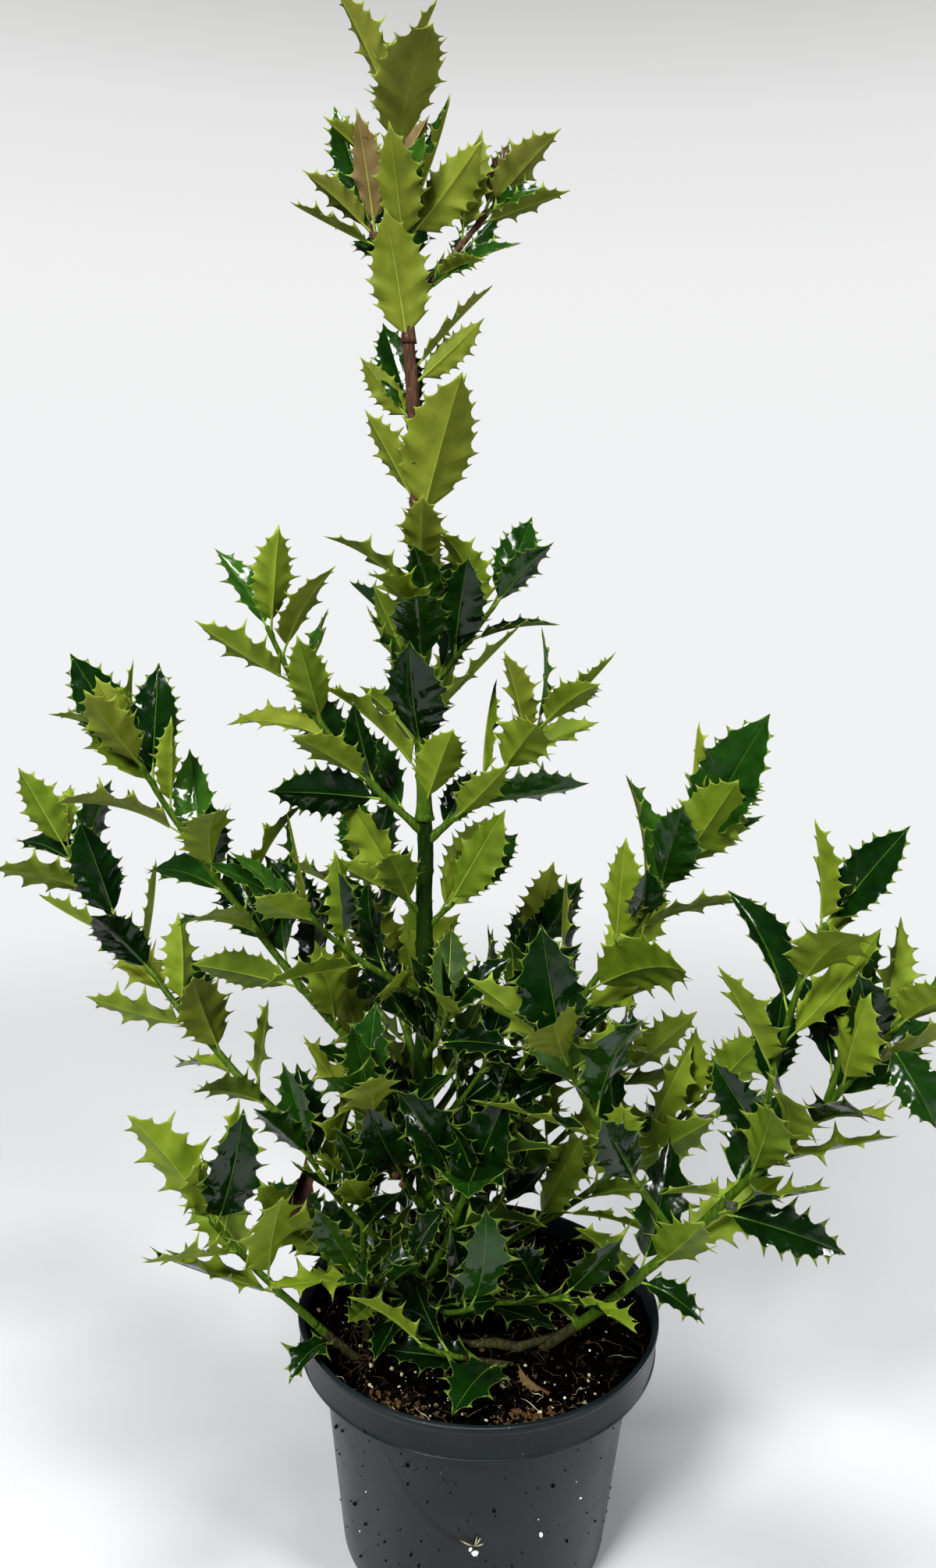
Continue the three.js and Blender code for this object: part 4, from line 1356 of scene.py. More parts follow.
# %% Rings of a limb
RING_STEP = 2.4
COLLAR = 0.45
COLLAR_REACH = 5.0
CUSHION = 1.0
CUSHION_REACH = 2.4
RIDGE = 0.28
RIDGE_REACH = 13.0
KNOT_STEP = 46.0
KNOT_SHIFT = 13
KNOT_SWELL = 0.11
KNOT_REACH = 1.6
BARK_ROUGHNESS = 0.018
BURIED = 12.0
SMOOTHING = 5.0


def smooth_place(shoot, distance):
    """A shoot's axis with its corners rounded: point, along, side, upper."""
    spots = [place_at(shoot, distance + d) for d in (-SMOOTHING, 0.0, SMOOTHING)]
    point = sum(spot[0] for spot in spots) / 3
    along = unit(sum(spot[1][0] for spot in spots))
    side = unit(sum(spot[1][1] for spot in spots))
    return point, along, side, np.cross(along, side)


def ring_relief(shoot, distance, angles, own_leaves, draw):
    """How much a ring stands out at each angle, in millimetres."""
    row = shoot["row"]
    swell = np.zeros(len(angles))
    for leaf in own_leaves:
        below = leaf["distance"] - distance
        if below < -3 * CUSHION_REACH or below > RIDGE_REACH:
            continue
        facing = np.cos(angles - leaf["ring_angle"])
        swell += CUSHION * math.exp(-(below / CUSHION_REACH) ** 2) * np.clip(facing, 0, 1) ** 3
        if below > 0:
            swell += RIDGE * (1 - below / RIDGE_REACH) * np.clip(facing, 0, 1) ** 12
    if shoot["parent"] is not None:
        out = distance - comes_out_at(shoot)
        swell += COLLAR * row["foot"] * math.exp(-max(0.0, out) / COLLAR_REACH)
    if distance < row["bare"]:
        shift = KNOT_SHIFT * row["at"] % KNOT_STEP
        from_knot = (distance + shift) % KNOT_STEP - KNOT_STEP / 2
        swell += KNOT_SWELL * row["foot"] * math.exp(-(from_knot / KNOT_REACH) ** 2)
    rough = BARK_ROUGHNESS * row["foot"]
    swell += np.array([draw(-rough, rough) for _ in angles])
    return swell


def ring_angle_of(shoot, leaf):
    """A leaf's direction round its stem, as an angle from the side towards the upper side."""
    _, _, side, over = smooth_place(shoot, leaf["distance"])
    return math.atan2(np.dot(leaf["outward"], over), np.dot(leaf["outward"], side))


leaves_of = {}
for shoot, leaf in leaves:
    leaf["ring_angle"] = ring_angle_of(shoot, leaf)
    leaves_of.setdefault(shoot["row"]["name"], []).append(leaf)
print("shoots with leaves:", len(leaves_of))

# %% [markdown]
# A shoot is made in two stretches, the bare bough and the leafy twig, which meet face to face.
# The bare stretches are joined into one piece of wood and the leafy ones into another.

# %% Stretches of limbs
# Each ring of a rounded tip: (how far beyond the end, its size), as shares of the radius
TIP_ROUNDS = ((0.5, 0.9), (1.0, 0.55))
TIP_NOSE = 0.35
WOOD_OLD, WOOD_GREEN, WOOD_PURPLE, WOOD_FOOT = range(4)
FOOT_REACH = 26.0
PURPLE_SHOOTS = {"leader_mid": 34.0, "leader_top": -1.0, "top_right": -1.0, "top_left": -1.0}


def wood_kind(shoot, distance):
    """The bark's finish at a place on a shoot."""
    name = shoot["row"]["name"]
    if name in PURPLE_SHOOTS and distance > PURPLE_SHOOTS[name]:
        return WOOD_PURPLE
    if shoot["parent"] is None and distance < FOOT_REACH:
        return WOOD_FOOT
    return WOOD_OLD if name == TRUNK_NAME else WOOD_GREEN


def limb_stretch(shoot, start, end, sides, draw):
    """(points, quads, kinds, triangles, kinds) of one closed stretch of a limb."""
    row = shoot["row"]
    own = leaves_of.get(row["name"], [])
    count = max(2, round((end - start) / RING_STEP))
    stops = np.linspace(start, end, count + 1)
    is_tip = end >= row["length"]
    points = []
    for distance in stops:
        middle, along, side, over = smooth_place(shoot, distance)
        radius = radius_at(row, max(0.0, distance))
        radius = radius + ring_relief(shoot, distance, angles_round(sides), own, draw)
        points.append(ring(middle, side, over, radius, sides))
    if is_tip:
        for step, share in TIP_ROUNDS:
            beyond = middle + step * row["tip"] * along
            points.append(ring(beyond, side, over, share * radius, sides))
    rings = len(points)
    kinds = np.repeat([wood_kind(shoot, stops[min(r, count)]) for r in range(rings - 1)], sides)
    quads = ring_quads(rings, sides)
    ends = rings * sides
    triangles = cap_triangles(0, ends - sides, ends, ends + 1, sides)
    nose = TIP_NOSE * row["tip"] if is_tip else 0.0
    caps = [points[0].mean(0), points[-1].mean(0) + nose * along]
    cap_kinds = [wood_kind(shoot, start), wood_kind(shoot, end)] * sides
    return np.concatenate([*points, caps]), quads, kinds, triangles, cap_kinds


# %% [markdown]
# ### Bark finishes
# Green bark is smooth with faint lengthwise streaks and pale corky flecks. Streaks are noise that
# is stretched along the height, and flecks are the small bright cores of a cell pattern.

# %% Bark finishes
STREAK_STRETCH = (1.0, 1.0, 0.18)
STREAK_SCALE = 520.0
FLECK_SCALE = 260.0
BARK_GLOSS = 0.06


def bark_finish(name, dark, light, fleck, roughness, depth):
    """Streaked between two colours, with pale flecks."""
    finish, tree = new_finish(name, roughness, BARK_GLOSS)
    streak = noise(tree, STREAK_SCALE, 4.0, STREAK_STRETCH)
    flecks = ramp(tree, cells(tree, FLECK_SCALE), (0.1, 1.0), (0.2, 0.0))
    streaked = ramp(tree, streak, (0.35, dark), (0.65, light))
    dress(tree, {
        "Base Color": mixed(tree, flecks, streaked, fleck),
        "Normal": bump(tree, streak, depth, 0.7),
    })
    return finish


# Each row: name, dark, light, fleck, roughness, depth
BARKS = (
    ("old", (0.003, 0.012, 0.001), (0.009, 0.026, 0.002), (0.03, 0.05, 0.01), 0.4, 5e-4),
    ("green", (0.024, 0.06, 0.003), (0.06, 0.115, 0.007), (0.12, 0.16, 0.03), 0.4, 3e-4),
    ("purple", (0.038, 0.016, 0.011), (0.085, 0.04, 0.021), (0.14, 0.1, 0.05), 0.45, 3e-4),
    ("foot", (0.013, 0.013, 0.005), (0.042, 0.04, 0.013), (0.085, 0.072, 0.035), 0.7, 8e-4),
)
BARK_FINISHES = [bark_finish(f"bark_{name}", *look) for name, *look in BARKS]
print("bark finishes:", [finish.name for finish in BARK_FINISHES])

# %% Wood and twigs
TRUNK_SIDES = 22
BOUGH_SIDES = 16
TWIG_SIDES = 12
bare_stretches = []
leafy_stretches = []
for seed, shoot in enumerate([*shoots.values(), *spurs.values()], 501):
    row = shoot["row"]
    draw = stream(seed)
    start = -BURIED if shoot["parent"] is None else 0.0
    sides = TRUNK_SIDES if row["name"] == TRUNK_NAME else BOUGH_SIDES
    if SHORTEST_BOUGH <= row["bare"]:
        bare_stretches.append(limb_stretch(shoot, start, row["bare"], sides, draw))
        start = row["bare"]
    if row["bare"] < row["length"]:
        leafy_stretches.append(limb_stretch(shoot, start, row["length"], TWIG_SIDES, draw))
wood = join("trunk_and_boughs", bare_stretches, BARK_FINISHES)
twigs = join("twigs", leafy_stretches, BARK_FINISHES)
print("wood triangles:", tally["trunk_and_boughs"], tally["twigs"])

# %% [markdown]
# ## The pot
# A nursery pot is thin moulded plastic: a rolled lip, a smooth band that stands out from the body
# so that pots stack, a body that narrows to the foot, and drain holes in its floor. It is round
# about one axis, so its profile is written as radius and height and turned. The plain solid has
# thirty sides. This one has 160, with small rounds at each edge that catch the light.

# %% A turned shape
POT_SIDES = 160
BAND_HEIGHT = 23
BAND_FOOT = POT_HEIGHT - BAND_HEIGHT
BODY_TOP_RADIUS = 100
BODY_FOOT_RADIUS = 85.7
HEEL = 4
WALL = 1.8
LIP = 1.2
BEAD = 3.6
BAND_BEAD = 0.9
BAND_BEAD_HEIGHT = 1.6
DRAIN_COUNT = 8
DRAIN_RADIUS = 6
DRAIN_RING = 62


def body_radius(z):
    """The pot's outer radius under its band."""
    return BODY_FOOT_RADIUS + (BODY_TOP_RADIUS - BODY_FOOT_RADIUS) * z / BAND_FOOT


def rounded(corners, radius, steps=4):
    """The same open outline with every inner corner rounded."""
    corners = [np.array(corner, dtype=float) for corner in corners]
    outline = [corners[0]]
    for before, corner, after in zip(corners, corners[1:], corners[2:]):
        back = before - corner
        ahead = after - corner
        reach = min(radius, 0.45 * np.linalg.norm(back), 0.45 * np.linalg.norm(ahead))
        start = corner + reach * unit(back)
        end = corner + reach * unit(ahead)
        for k in range(steps + 1):
            t = k / steps
            outline.append((1 - t) ** 2 * start + 2 * t * (1 - t) * corner + t * t * end)
    outline.append(corners[-1])
    return outline


def turned(name, outline, sides, finishes):
    """A closed body turned about the upright axis. The outline starts and ends on the axis."""
    side, over, up = np.eye(3)
    points = [[outline[0][1] * up, outline[-1][1] * up]]
    for radius, height in outline[1:-1]:
        points.append(ring(height * up, side, over, radius, sides))
    rings = len(outline) - 2
    quads = ring_quads(rings, sides, 2)
    triangles = cap_triangles(2, 2 + (rings - 1) * sides, 0, 1, sides)
    kinds = [np.zeros(len(part), dtype=int) for part in (quads, triangles)]
    return make_piece(name, np.concatenate(points), quads, kinds[0], triangles, kinds[1], finishes)


# %% [markdown]
# ### Pot finish
# The plastic is slate grey and satin. Wet patches are smoother and a little darker, dried splashes
# paler. A broad noise moves the colour and the roughness together, and the cores of a cell pattern
# put tiny pale specks on top.

# %% Pot finish
PATCH_SCALE = 22.0
SPECK_SCALE = 190.0
SPECK_COLOUR = (0.3, 0.32, 0.32)
GRAIN_DEPTH = 1.5e-4
pot_finish, tree = new_finish("slate_plastic", 0.42, 0.14)
patches = noise(tree, PATCH_SCALE, 6.0, roughness=0.62)
slate = ramp(
    tree,
    patches,
    (0.3, (0.0038, 0.0065, 0.0078)),
    (0.52, (0.005, 0.0083, 0.0098)),
    (0.72, (0.009, 0.0135, 0.015)),
)
dots = ramp(tree, cells(tree, SPECK_SCALE), (0.035, 0.8), (0.07, 0.0))
patchy = noise(tree, 40.0, 2.0)
where = ramp(tree, patchy, (0.5, 0.0), (0.6, 1.0))
speckled = mixed(tree, mixed(tree, 1.0, dots, where, "MULTIPLY"), slate, SPECK_COLOUR)
sheen = ramp(tree, patches, (0.3, 0.24), (0.7, 0.38))
dress(tree, {"Normal": bump(tree, noise(tree, 900.0, 2.0), GRAIN_DEPTH, 0.5)})
print("pot finish ready")

# %% [markdown]
# Water once ran over the rim and left one darker track, which curves down the front. A track could
# be a strip of mesh, but it has no thickness at all, so it is part of the finish. Its middle line
# is a parabola in width and height, and whatever lies near that line is darker.

# %% The water track
TRACK_FOOT = 0.0685
TRACK_CURVE = 18.5
TRACK_WIDTH = 0.0024
TRACK_LEFT = -0.064
TRACK_RIGHT = 0.002
TRACK_WOBBLE = 0.006
TRACK_SMOOTHING = 0.1
TRACK_STRENGTH = 0.85
TRACK_COLOUR = (0.0004, 0.0009, 0.0013)
axes = add(tree, "SeparateXYZ", {"Vector": add(tree, "TexCoord", {}).outputs["Object"]}).outputs
square = arithmetic(tree, "MULTIPLY", axes["X"], axes["X"])
line = arithmetic(tree, "MULTIPLY_ADD", square, TRACK_CURVE, TRACK_FOOT)
line = arithmetic(tree, "MULTIPLY_ADD", patchy, TRACK_WOBBLE, line)
offset = arithmetic(tree, "ABSOLUTE", arithmetic(tree, "SUBTRACT", line, axes["Z"]))
track = arithmetic(tree, "LESS_THAN", offset, TRACK_WIDTH)
for operation, axis, limit in (
    ("GREATER_THAN", "X", TRACK_LEFT),
    ("LESS_THAN", "X", TRACK_RIGHT),
    ("LESS_THAN", "Y", 0.0),
):
    within = arithmetic(tree, operation, axes[axis], limit)
    track = arithmetic(tree, "MULTIPLY", track, within)
wetness = arithmetic(tree, "MULTIPLY", track, TRACK_SMOOTHING)
share = arithmetic(tree, "MULTIPLY", track, TRACK_STRENGTH)
dress(tree, {
    "Roughness": arithmetic(tree, "SUBTRACT", sheen, wetness),
    "Base Color": mixed(tree, share, speckled, TRACK_COLOUR),
})
print("water track added")

# %% The pot
outline = rounded(
    [
        (0, 0),
        (BODY_FOOT_RADIUS - HEEL, 0),
        (body_radius(HEEL), HEEL),
        (body_radius(BAND_FOOT), BAND_FOOT),
        (BAND_FOOT_RADIUS + BAND_BEAD, BAND_FOOT),
        (BAND_FOOT_RADIUS + BAND_BEAD, BAND_FOOT + BAND_BEAD_HEIGHT),
        (BAND_FOOT_RADIUS + 0.1, BAND_FOOT + BAND_BEAD_HEIGHT + 0.3),
        (RIM_RADIUS - LIP, POT_HEIGHT - BEAD - LIP),
        (RIM_RADIUS, POT_HEIGHT - BEAD),
        (RIM_RADIUS, POT_HEIGHT - LIP / 2),
        (RIM_RADIUS - LIP, POT_HEIGHT),
        (RIM_RADIUS - 2 * WALL, POT_HEIGHT),
        (BAND_FOOT_RADIUS - WALL, BAND_FOOT + WALL),
        (body_radius(BAND_FOOT) - WALL, BAND_FOOT + WALL),
        (body_radius(WALL + HEEL) - WALL, WALL + HEEL),
        (BODY_FOOT_RADIUS - HEEL - WALL, WALL),
        (0, WALL),
    ],
    1.0,
)
pot = turned("nursery_pot", outline, POT_SIDES, [pot_finish])
print("pot triangles:", tally["nursery_pot"])

# %% [markdown]
# The drain holes are cut with a Boolean modifier, which is applied, so that the mesh itself has
# them. Eight round holes drawn by hand would take more faces and more care.

# %% Drain holes
import bmesh


def drain_cutters():
    """One mesh with a short cylinder for each drain hole."""
    made = bmesh.new()
    for i in range(DRAIN_COUNT):
        a = 2 * math.pi * (i + 0.5) / DRAIN_COUNT
        place = Vector((math.cos(a), math.sin(a), 0.0)) * DRAIN_RING * MILLIMETRE
        radius = DRAIN_RADIUS * MILLIMETRE
        size = {"radius1": radius, "radius2": radius, "depth": 4 * WALL * MILLIMETRE}
        matrix = Matrix.Translation(place)
        bmesh.ops.create_cone(made, cap_ends=True, segments=24, matrix=matrix, **size)
    mesh = bpy.data.meshes.new("drain_cutters")
    made.to_mesh(mesh)
    made.free()
    cutters = bpy.data.objects.new("drain_cutters", mesh)
    scene.collection.objects.link(cutters)
    return cutters


cutters = drain_cutters()
cut = pot.modifiers.new("drains", "BOOLEAN")
cut.operation = "DIFFERENCE"
cut.solver = "EXACT"
cut.object = cutters
graph = bpy.context.evaluated_depsgraph_get()
graph.update()
pot.data = bpy.data.meshes.new_from_object(pot.evaluated_get(graph))
pot.modifiers.clear()
bpy.data.objects.remove(cutters)
print("pot faces after the drains:", len(pot.data.polygons))

# %% [markdown]
# ## The compost
# Potting compost is dark, moist and lumpy: peat crumbs, bark, brown fibres and pale grains of grit.
# A bump map on a flat disc looks like a printed card from a low angle. The surface is a disc of
# small faces raised by noise, and its crumbs, grains and fibres are little bodies strewn on it.

# %% The compost's surface
from mathutils import noise as solid_noise

COMPOST_RADIUS = BAND_FOOT_RADIUS - WALL - GAP
COMPOST_RINGS = 72
COMPOST_SIDES = 150
LUMP = 2.0


def compost_height(x, y):
    """The compost's level at a place, in millimetres."""
    spot = Vector((x * 0.09, y * 0.09, 3.7))
    fine = Vector((x * 0.42, y * 0.42, 9.1))
    lumps = LUMP * solid_noise.fractal(spot, 0.9, 2.1, 4)
    r = math.hypot(x, y) / COMPOST_RADIUS
    dish = -1.2 + 1.6 * r * r
    return SOIL_LEVEL + lumps + 0.8 * solid_noise.noise(fine) + dish


COMPOST_FINISH, tree = new_finish("compost_dark", 0.85, 0.0)
lumps = noise(tree, 260.0, 8.0, roughness=0.7)
peat = ramp(
    tree,
    lumps,
    (0.3, 0.0002),
    (0.6, (0.0012, 0.0009, 0.0006)),
    (0.76, (0.01, 0.006, 0.003)),
)
dress(tree, {"Base Color": peat, "Normal": bump(tree, lumps, 1.5e-3)})
radii = COMPOST_RADIUS * np.linspace(1.0, 0.0, COMPOST_RINGS + 1)[:-1] ** 0.85
foot_radius = BODY_FOOT_RADIUS - HEEL - WALL - GAP
step_radius = body_radius(BAND_FOOT) - WALL - GAP
step_height = BAND_FOOT + WALL + GAP
outline = [(0, WALL + GAP), (foot_radius, WALL + GAP), (step_radius, step_height)]
outline += [(COMPOST_RADIUS, step_height)] + [(r, SOIL_LEVEL) for r in radii] + [(0, SOIL_LEVEL)]
compost = turned("compost_fill", outline, COMPOST_SIDES, [COMPOST_FINISH])
for vertex in compost.data.vertices:
    x, y, z = vertex.co / MILLIMETRE
    if z > SOIL_LEVEL - 1:
        vertex.co.z = compost_height(x, y) * MILLIMETRE
print("compost triangles:", tally["compost_fill"])

# %% [markdown]
# ### Crumbs, grains and fibres
# Each crumb is a ball of twenty faces with its corners pushed in and out. Grains are paler, rounder
# and finer. They all share one mesh, and lie thicker along the front of the pot.

# %% Strewing
PHI = (1 + math.sqrt(5)) / 2
BALL_POINTS = np.array([
    (-1, PHI, 0), (1, PHI, 0), (-1, -PHI, 0), (1, -PHI, 0),
    (0, -1, PHI), (0, 1, PHI), (0, -1, -PHI), (0, 1, -PHI),
    (PHI, 0, -1), (PHI, 0, 1), (-PHI, 0, -1), (-PHI, 0, 1),
]) / math.sqrt(1 + PHI * PHI)
BALL_FACES = np.array([
    (0, 11, 5), (0, 5, 1), (0, 1, 7), (0, 7, 10), (0, 10, 11),
    (1, 5, 9), (5, 11, 4), (11, 10, 2), (10, 7, 6), (7, 1, 8),
    (3, 9, 4), (3, 4, 2), (3, 2, 6), (3, 6, 8), (3, 8, 9),
    (4, 9, 5), (2, 4, 11), (6, 2, 10), (8, 6, 7), (9, 8, 1),
])


def finer_ball(points, faces):
    """The ball with each face in four."""
    points = list(points)
    middles = {}

    def middle(a, b):
        key = (min(a, b), max(a, b))
        if key not in middles:
            middles[key] = len(points)
            points.append(unit(points[a] + points[b]))
        return middles[key]

    finer = []
    for a, b, c in faces:
        ab, bc, ca = middle(a, b), middle(b, c), middle(c, a)
        finer.extend([(a, ab, ca), (b, bc, ab), (c, ca, bc), (ab, bc, ca)])
    return np.array(points), np.array(finer)


FINE_POINTS, FINE_FACES = finer_ball(BALL_POINTS, BALL_FACES)


def ball(fine):
    """(points, faces) of a ball of eighty faces, or of twenty."""
    return (FINE_POINTS, FINE_FACES) if fine else (BALL_POINTS, BALL_FACES)


def turned_about(points, axis, angle):
    """Points turned about an axis through the origin."""
    return points @ np.array(Matrix.Rotation(angle, 3, Vector(axis))).T


def crumb(place, size, rough, draw, fine=False):
    """(points, faces) of one crumb."""
    points, faces = ball(fine)
    swell = np.array([1 + draw(-rough, rough) for _ in points])
    shape = points * swell[:, None] * np.array([1.0, draw(0.6, 1.0), draw(0.5, 0.9)]) * size
    shape = turned_about(shape, (draw(-1, 1), draw(-1, 1), 1.0), draw(0, 6.28))
    return shape + np.array(place), faces


def join_solids(name, solids, finishes, kinds=None, flat=()):
    """One mesh from closed bodies of triangles. Kinds holds a number or an array for each."""
    none = np.zeros((0, 4), dtype=int)
    bodies = []
    for (points, faces), kind in zip(solids, kinds or [0] * len(solids)):
        bodies.append((points, none, none[:, 0], faces, np.zeros(len(faces), dtype=int) + kind))
    return join(name, bodies, finishes, flat)


def crumb_finish(name, dark, light, roughness):
    """A grainy finish between two colours."""
    finish, tree = new_finish(name, roughness, 0.04)
    grain = noise(tree, 700.0, 4.0)
    tone = ramp(tree, grain, (0.35, dark), (0.65, light))
    dress(tree, {"Base Color": tone, "Normal": bump(tree, grain, 3e-4, 0.8)})
    return finish


CRUMB_FINISHES = [
    crumb_finish("crumb_black", (0.0004, 0.0003, 0.0002), (0.003, 0.002, 0.0014), 0.8),
    crumb_finish("crumb_brown", (0.02, 0.011, 0.005), (0.085, 0.05, 0.02), 0.85),
    crumb_finish("grain_pale", (0.22, 0.2, 0.1), (0.5, 0.46, 0.3), 0.7),
    crumb_finish("grain_white", (0.55, 0.55, 0.5), (0.8, 0.8, 0.76), 0.75),
]
print("crumb finishes:", len(CRUMB_FINISHES))

# %% Crumbs and grains
CRUMB_EDGE = COMPOST_RADIUS - 2.5
FRONT_FROM = -0.45


def strewn_place(draw, front, patch=None):
    """A place on the compost, more often to the front, or in a patch (x, y, radius)."""
    while True:
        if patch:
            turn = draw(0, 2 * math.pi)
            out = patch[2] * draw(0, 1)
            x = patch[0] + out * math.cos(turn)
            y = patch[1] + 0.6 * out * math.sin(turn)
        else:
            x = draw(-1, 1) * CRUMB_EDGE
            y = draw(-1, 1) * CRUMB_EDGE
        if math.hypot(x, y) > CRUMB_EDGE:
            continue
        if draw(0, 1) < front and y > FRONT_FROM * CRUMB_EDGE:
            continue
        return x, y


def strew(count, sizes, kind, rough, front, seed, fine=False, patch=None):
    """Crumbs of one kind: (solids, kinds)."""
    draw = stream(seed)
    solids = []
    for _ in range(count):
        x, y = strewn_place(draw, front, patch)
        size = sizes[0] + (sizes[1] - sizes[0]) * draw(0, 1) ** 2
        solids.append(crumb((x, y, compost_height(x, y) + 0.35 * size), size, rough, draw, fine))
    return solids, [kind] * count


# Each lot: count, sizes, finish, roughness, share kept to the front, seed, fine or not, patch
LOTS = (
    (1100, (0.5, 2.8), 0, 0.35, 0.25, 901),
    (260, (0.4, 1.9), 1, 0.3, 0.3, 902),
    (240, (0.5, 2.2), 1, 0.35, 0.0, 905, False, (-50, -86, 30)),
    (260, (0.5, 2.2), 1, 0.35, 0.0, 906, False, (34, -94, 26)),
    (170, (0.4, 1.7), 2, 0.2, 0.75, 903, True),
    (50, (0.35, 1.0), 3, 0.12, 0.4, 904, True),
)
strewn, strewn_kinds = [], []
for lot in LOTS:
    solids, kinds = strew(*lot)
    strewn += solids
    strewn_kinds += kinds
crumbs = join_solids("compost_crumbs", strewn, CRUMB_FINISHES, strewn_kinds, (0, 1))
print("crumbs and grains:", len(strewn), "triangles:", tally["compost_crumbs"])

# %% [markdown]
# Fibres are thin bent threads of coir and root, lying loosely on the crumbs.

# %% Fibres
FIBRE_SIDES = 4
THREAD_END = 0.35
FIBRE_PIECES = 5
FIBRE_COUNT = 190
BROWN_SHARE = 0.8
HAIR_RING = 7
HAIR_PIECES = 6
HAIR_DEPTH = 2
HAIRS_BY_STEM = 14
HAIRY_STEMS = ("right_bough", "left_front", "trunk")


def thread(points, radius, sides=FIBRE_SIDES):
    """(points, faces) of a closed thread that thins to both ends."""
    points = np.array(points)
    count = len(points)
    made = []
    for k, point in enumerate(points):
        along = unit(points[min(k + 1, count - 1)] - points[max(k - 1, 0)])
        side = unit(np.cross(along, UP + 0.01))
        thin = radius * (THREAD_END + (1 - THREAD_END) * math.sin(math.pi * k / (count - 1)))
        made.extend(ring(point, side, np.cross(side, along), thin, sides))
    faces = [face for a, b, c, d in ring_quads(count, sides) for face in ((a, c, b), (a, d, c))]
    last = (count - 1) * sides
    for i in range(1, sides - 1):
        faces.extend([(0, i, i + 1), (last, last + i + 1, last + i)])
    return np.array(made), np.array(faces)


def fibre(draw):
    """One fibre lying on the compost."""
    x, y = strewn_place(draw, 0.3)
    turn = draw(0, 6.28)
    curl = draw(-0.5, 0.5)
    step = draw(1.2, 4.2)
    points = []
    for _ in range(FIBRE_PIECES + 1):
        if math.hypot(x, y) > CRUMB_EDGE:
            break
        points.append((x, y, compost_height(x, y) + draw(0.4, 2.2)))
        x += step * math.cos(turn)
        y += step * math.sin(turn)
        turn += curl + draw(-0.3, 0.3)
    return thread(points, draw(0.12, 0.3)) if len(points) > 2 else None


def root_hair(draw, middle):
    """A thin root that rises from the compost beside a stem and falls back."""
    turn = draw(0, 2 * math.pi)
    x = middle[0] + HAIR_RING * math.cos(turn)
    y = middle[1] + HAIR_RING * math.sin(turn)
    reach = draw(5, 13)
    height = draw(6, 17)
    points = []
    for t in np.linspace(0, 1, HAIR_PIECES + 1):
        way = turn + draw(-0.8, 0.8)
        rise = height * math.sin(math.pi * (0.1 + 0.8 * t)) - HAIR_DEPTH
        out = reach * t
        spot = (x + out * math.cos(way), y + out * math.sin(way), compost_height(x, y) + rise)
        points.append(spot)
    return thread(points, draw(0.15, 0.35))


draw = stream(950)
fibres = [made for made in (fibre(draw) for _ in range(FIBRE_COUNT)) if made]
fibre_kinds = [1 if draw(0, 1) < BROWN_SHARE else 2 for _ in fibres]
hairs = [root_hair(draw, FEET[name]) for name in HAIRY_STEMS for _ in range(HAIRS_BY_STEM)]
fibres += hairs
fibre_kinds += [1] * len(hairs)
fibre_piece = join_solids("compost_fibres", fibres, CRUMB_FINISHES, fibre_kinds)
print("fibres:", len(fibres), "triangles:", tally["compost_fibres"])

# %% [markdown]
# One woody root lies half bare on the compost and joins the right bough to the trunk.

# %% The bare root
BARE_ROOT = [
    (48, -22, 157),
    (38, -25, 154),
    (25, -29, 152),
    (11, -28, 154),
    (-4, -26, 151),
    (-20, -18, 149),
]
ROOT_RADIUS = 3.2
root_body = thread(BARE_ROOT, ROOT_RADIUS, 14)
bare_root = join_solids("bare_root", [root_body], [BARK_FINISHES[WOOD_FOOT]])
print("bare root triangles:", tally["bare_root"])

# %% [markdown]
# ## Small things
# Small things tell how a plant has been kept: it has just been watered, a dead leaf still hangs in
# it, and crumbs of compost stick to the pot. They could be painted on. As small solids they also
# stand out from their surface when they are seen from the side.

# %% Dry leaves
DRY_LEAVES = [
    (place_at(shoots["low_left"], 111)[0], (-132, -26, 231), (0.7, -0.7, 0.2), 60, 0.3, 0.3),
    (np.array([42.0, -70.0, 153.0]), (26, -66, 167), (-0.5, 0.5, -0.7), 50, 0.28, 0.2),
]
DRY_FOLD = 50
DRY_NET = 3e-4
DRY_FINISHES = [
    leaf_finish("leaf_dry", (0.03, 0.01, 0.004), (0.11, 0.04, 0.014), MATT, DULL, DRY_NET),
    leaf_finish("leaf_dry_under", (0.06, 0.04, 0.014), (0.16, 0.105, 0.04), MATT, DULL, DRY_NET),
]
solids, kinds = [], []
for seed, (root, tip, *habit) in enumerate(DRY_LEAVES, 701):
    leaf = aimed_leaf(root, tip, *habit)
    leaf["fold"] = math.radians(DRY_FOLD)
    columns, made = leaf_points(leaf, seed)
    four, four_kinds, three, three_kinds = blade_faces(columns)
    faces = np.concatenate([four[:, [0, 1, 2]], four[:, [0, 2, 3]], three])
    below = np.isin(np.concatenate([four_kinds, four_kinds, three_kinds]), (UNDER, RIM_UNDER))
    solids.append((made, faces))
    kinds.append(below.astype(int))
dry_leaves = join_solids("dry_leaves", solids, DRY_FINISHES, kinds)
print("dry leaves:", len(solids))

# %% [markdown]
# Two withered berries sit on a stub by the trunk. Balls with pushed-in corners look shrivelled.

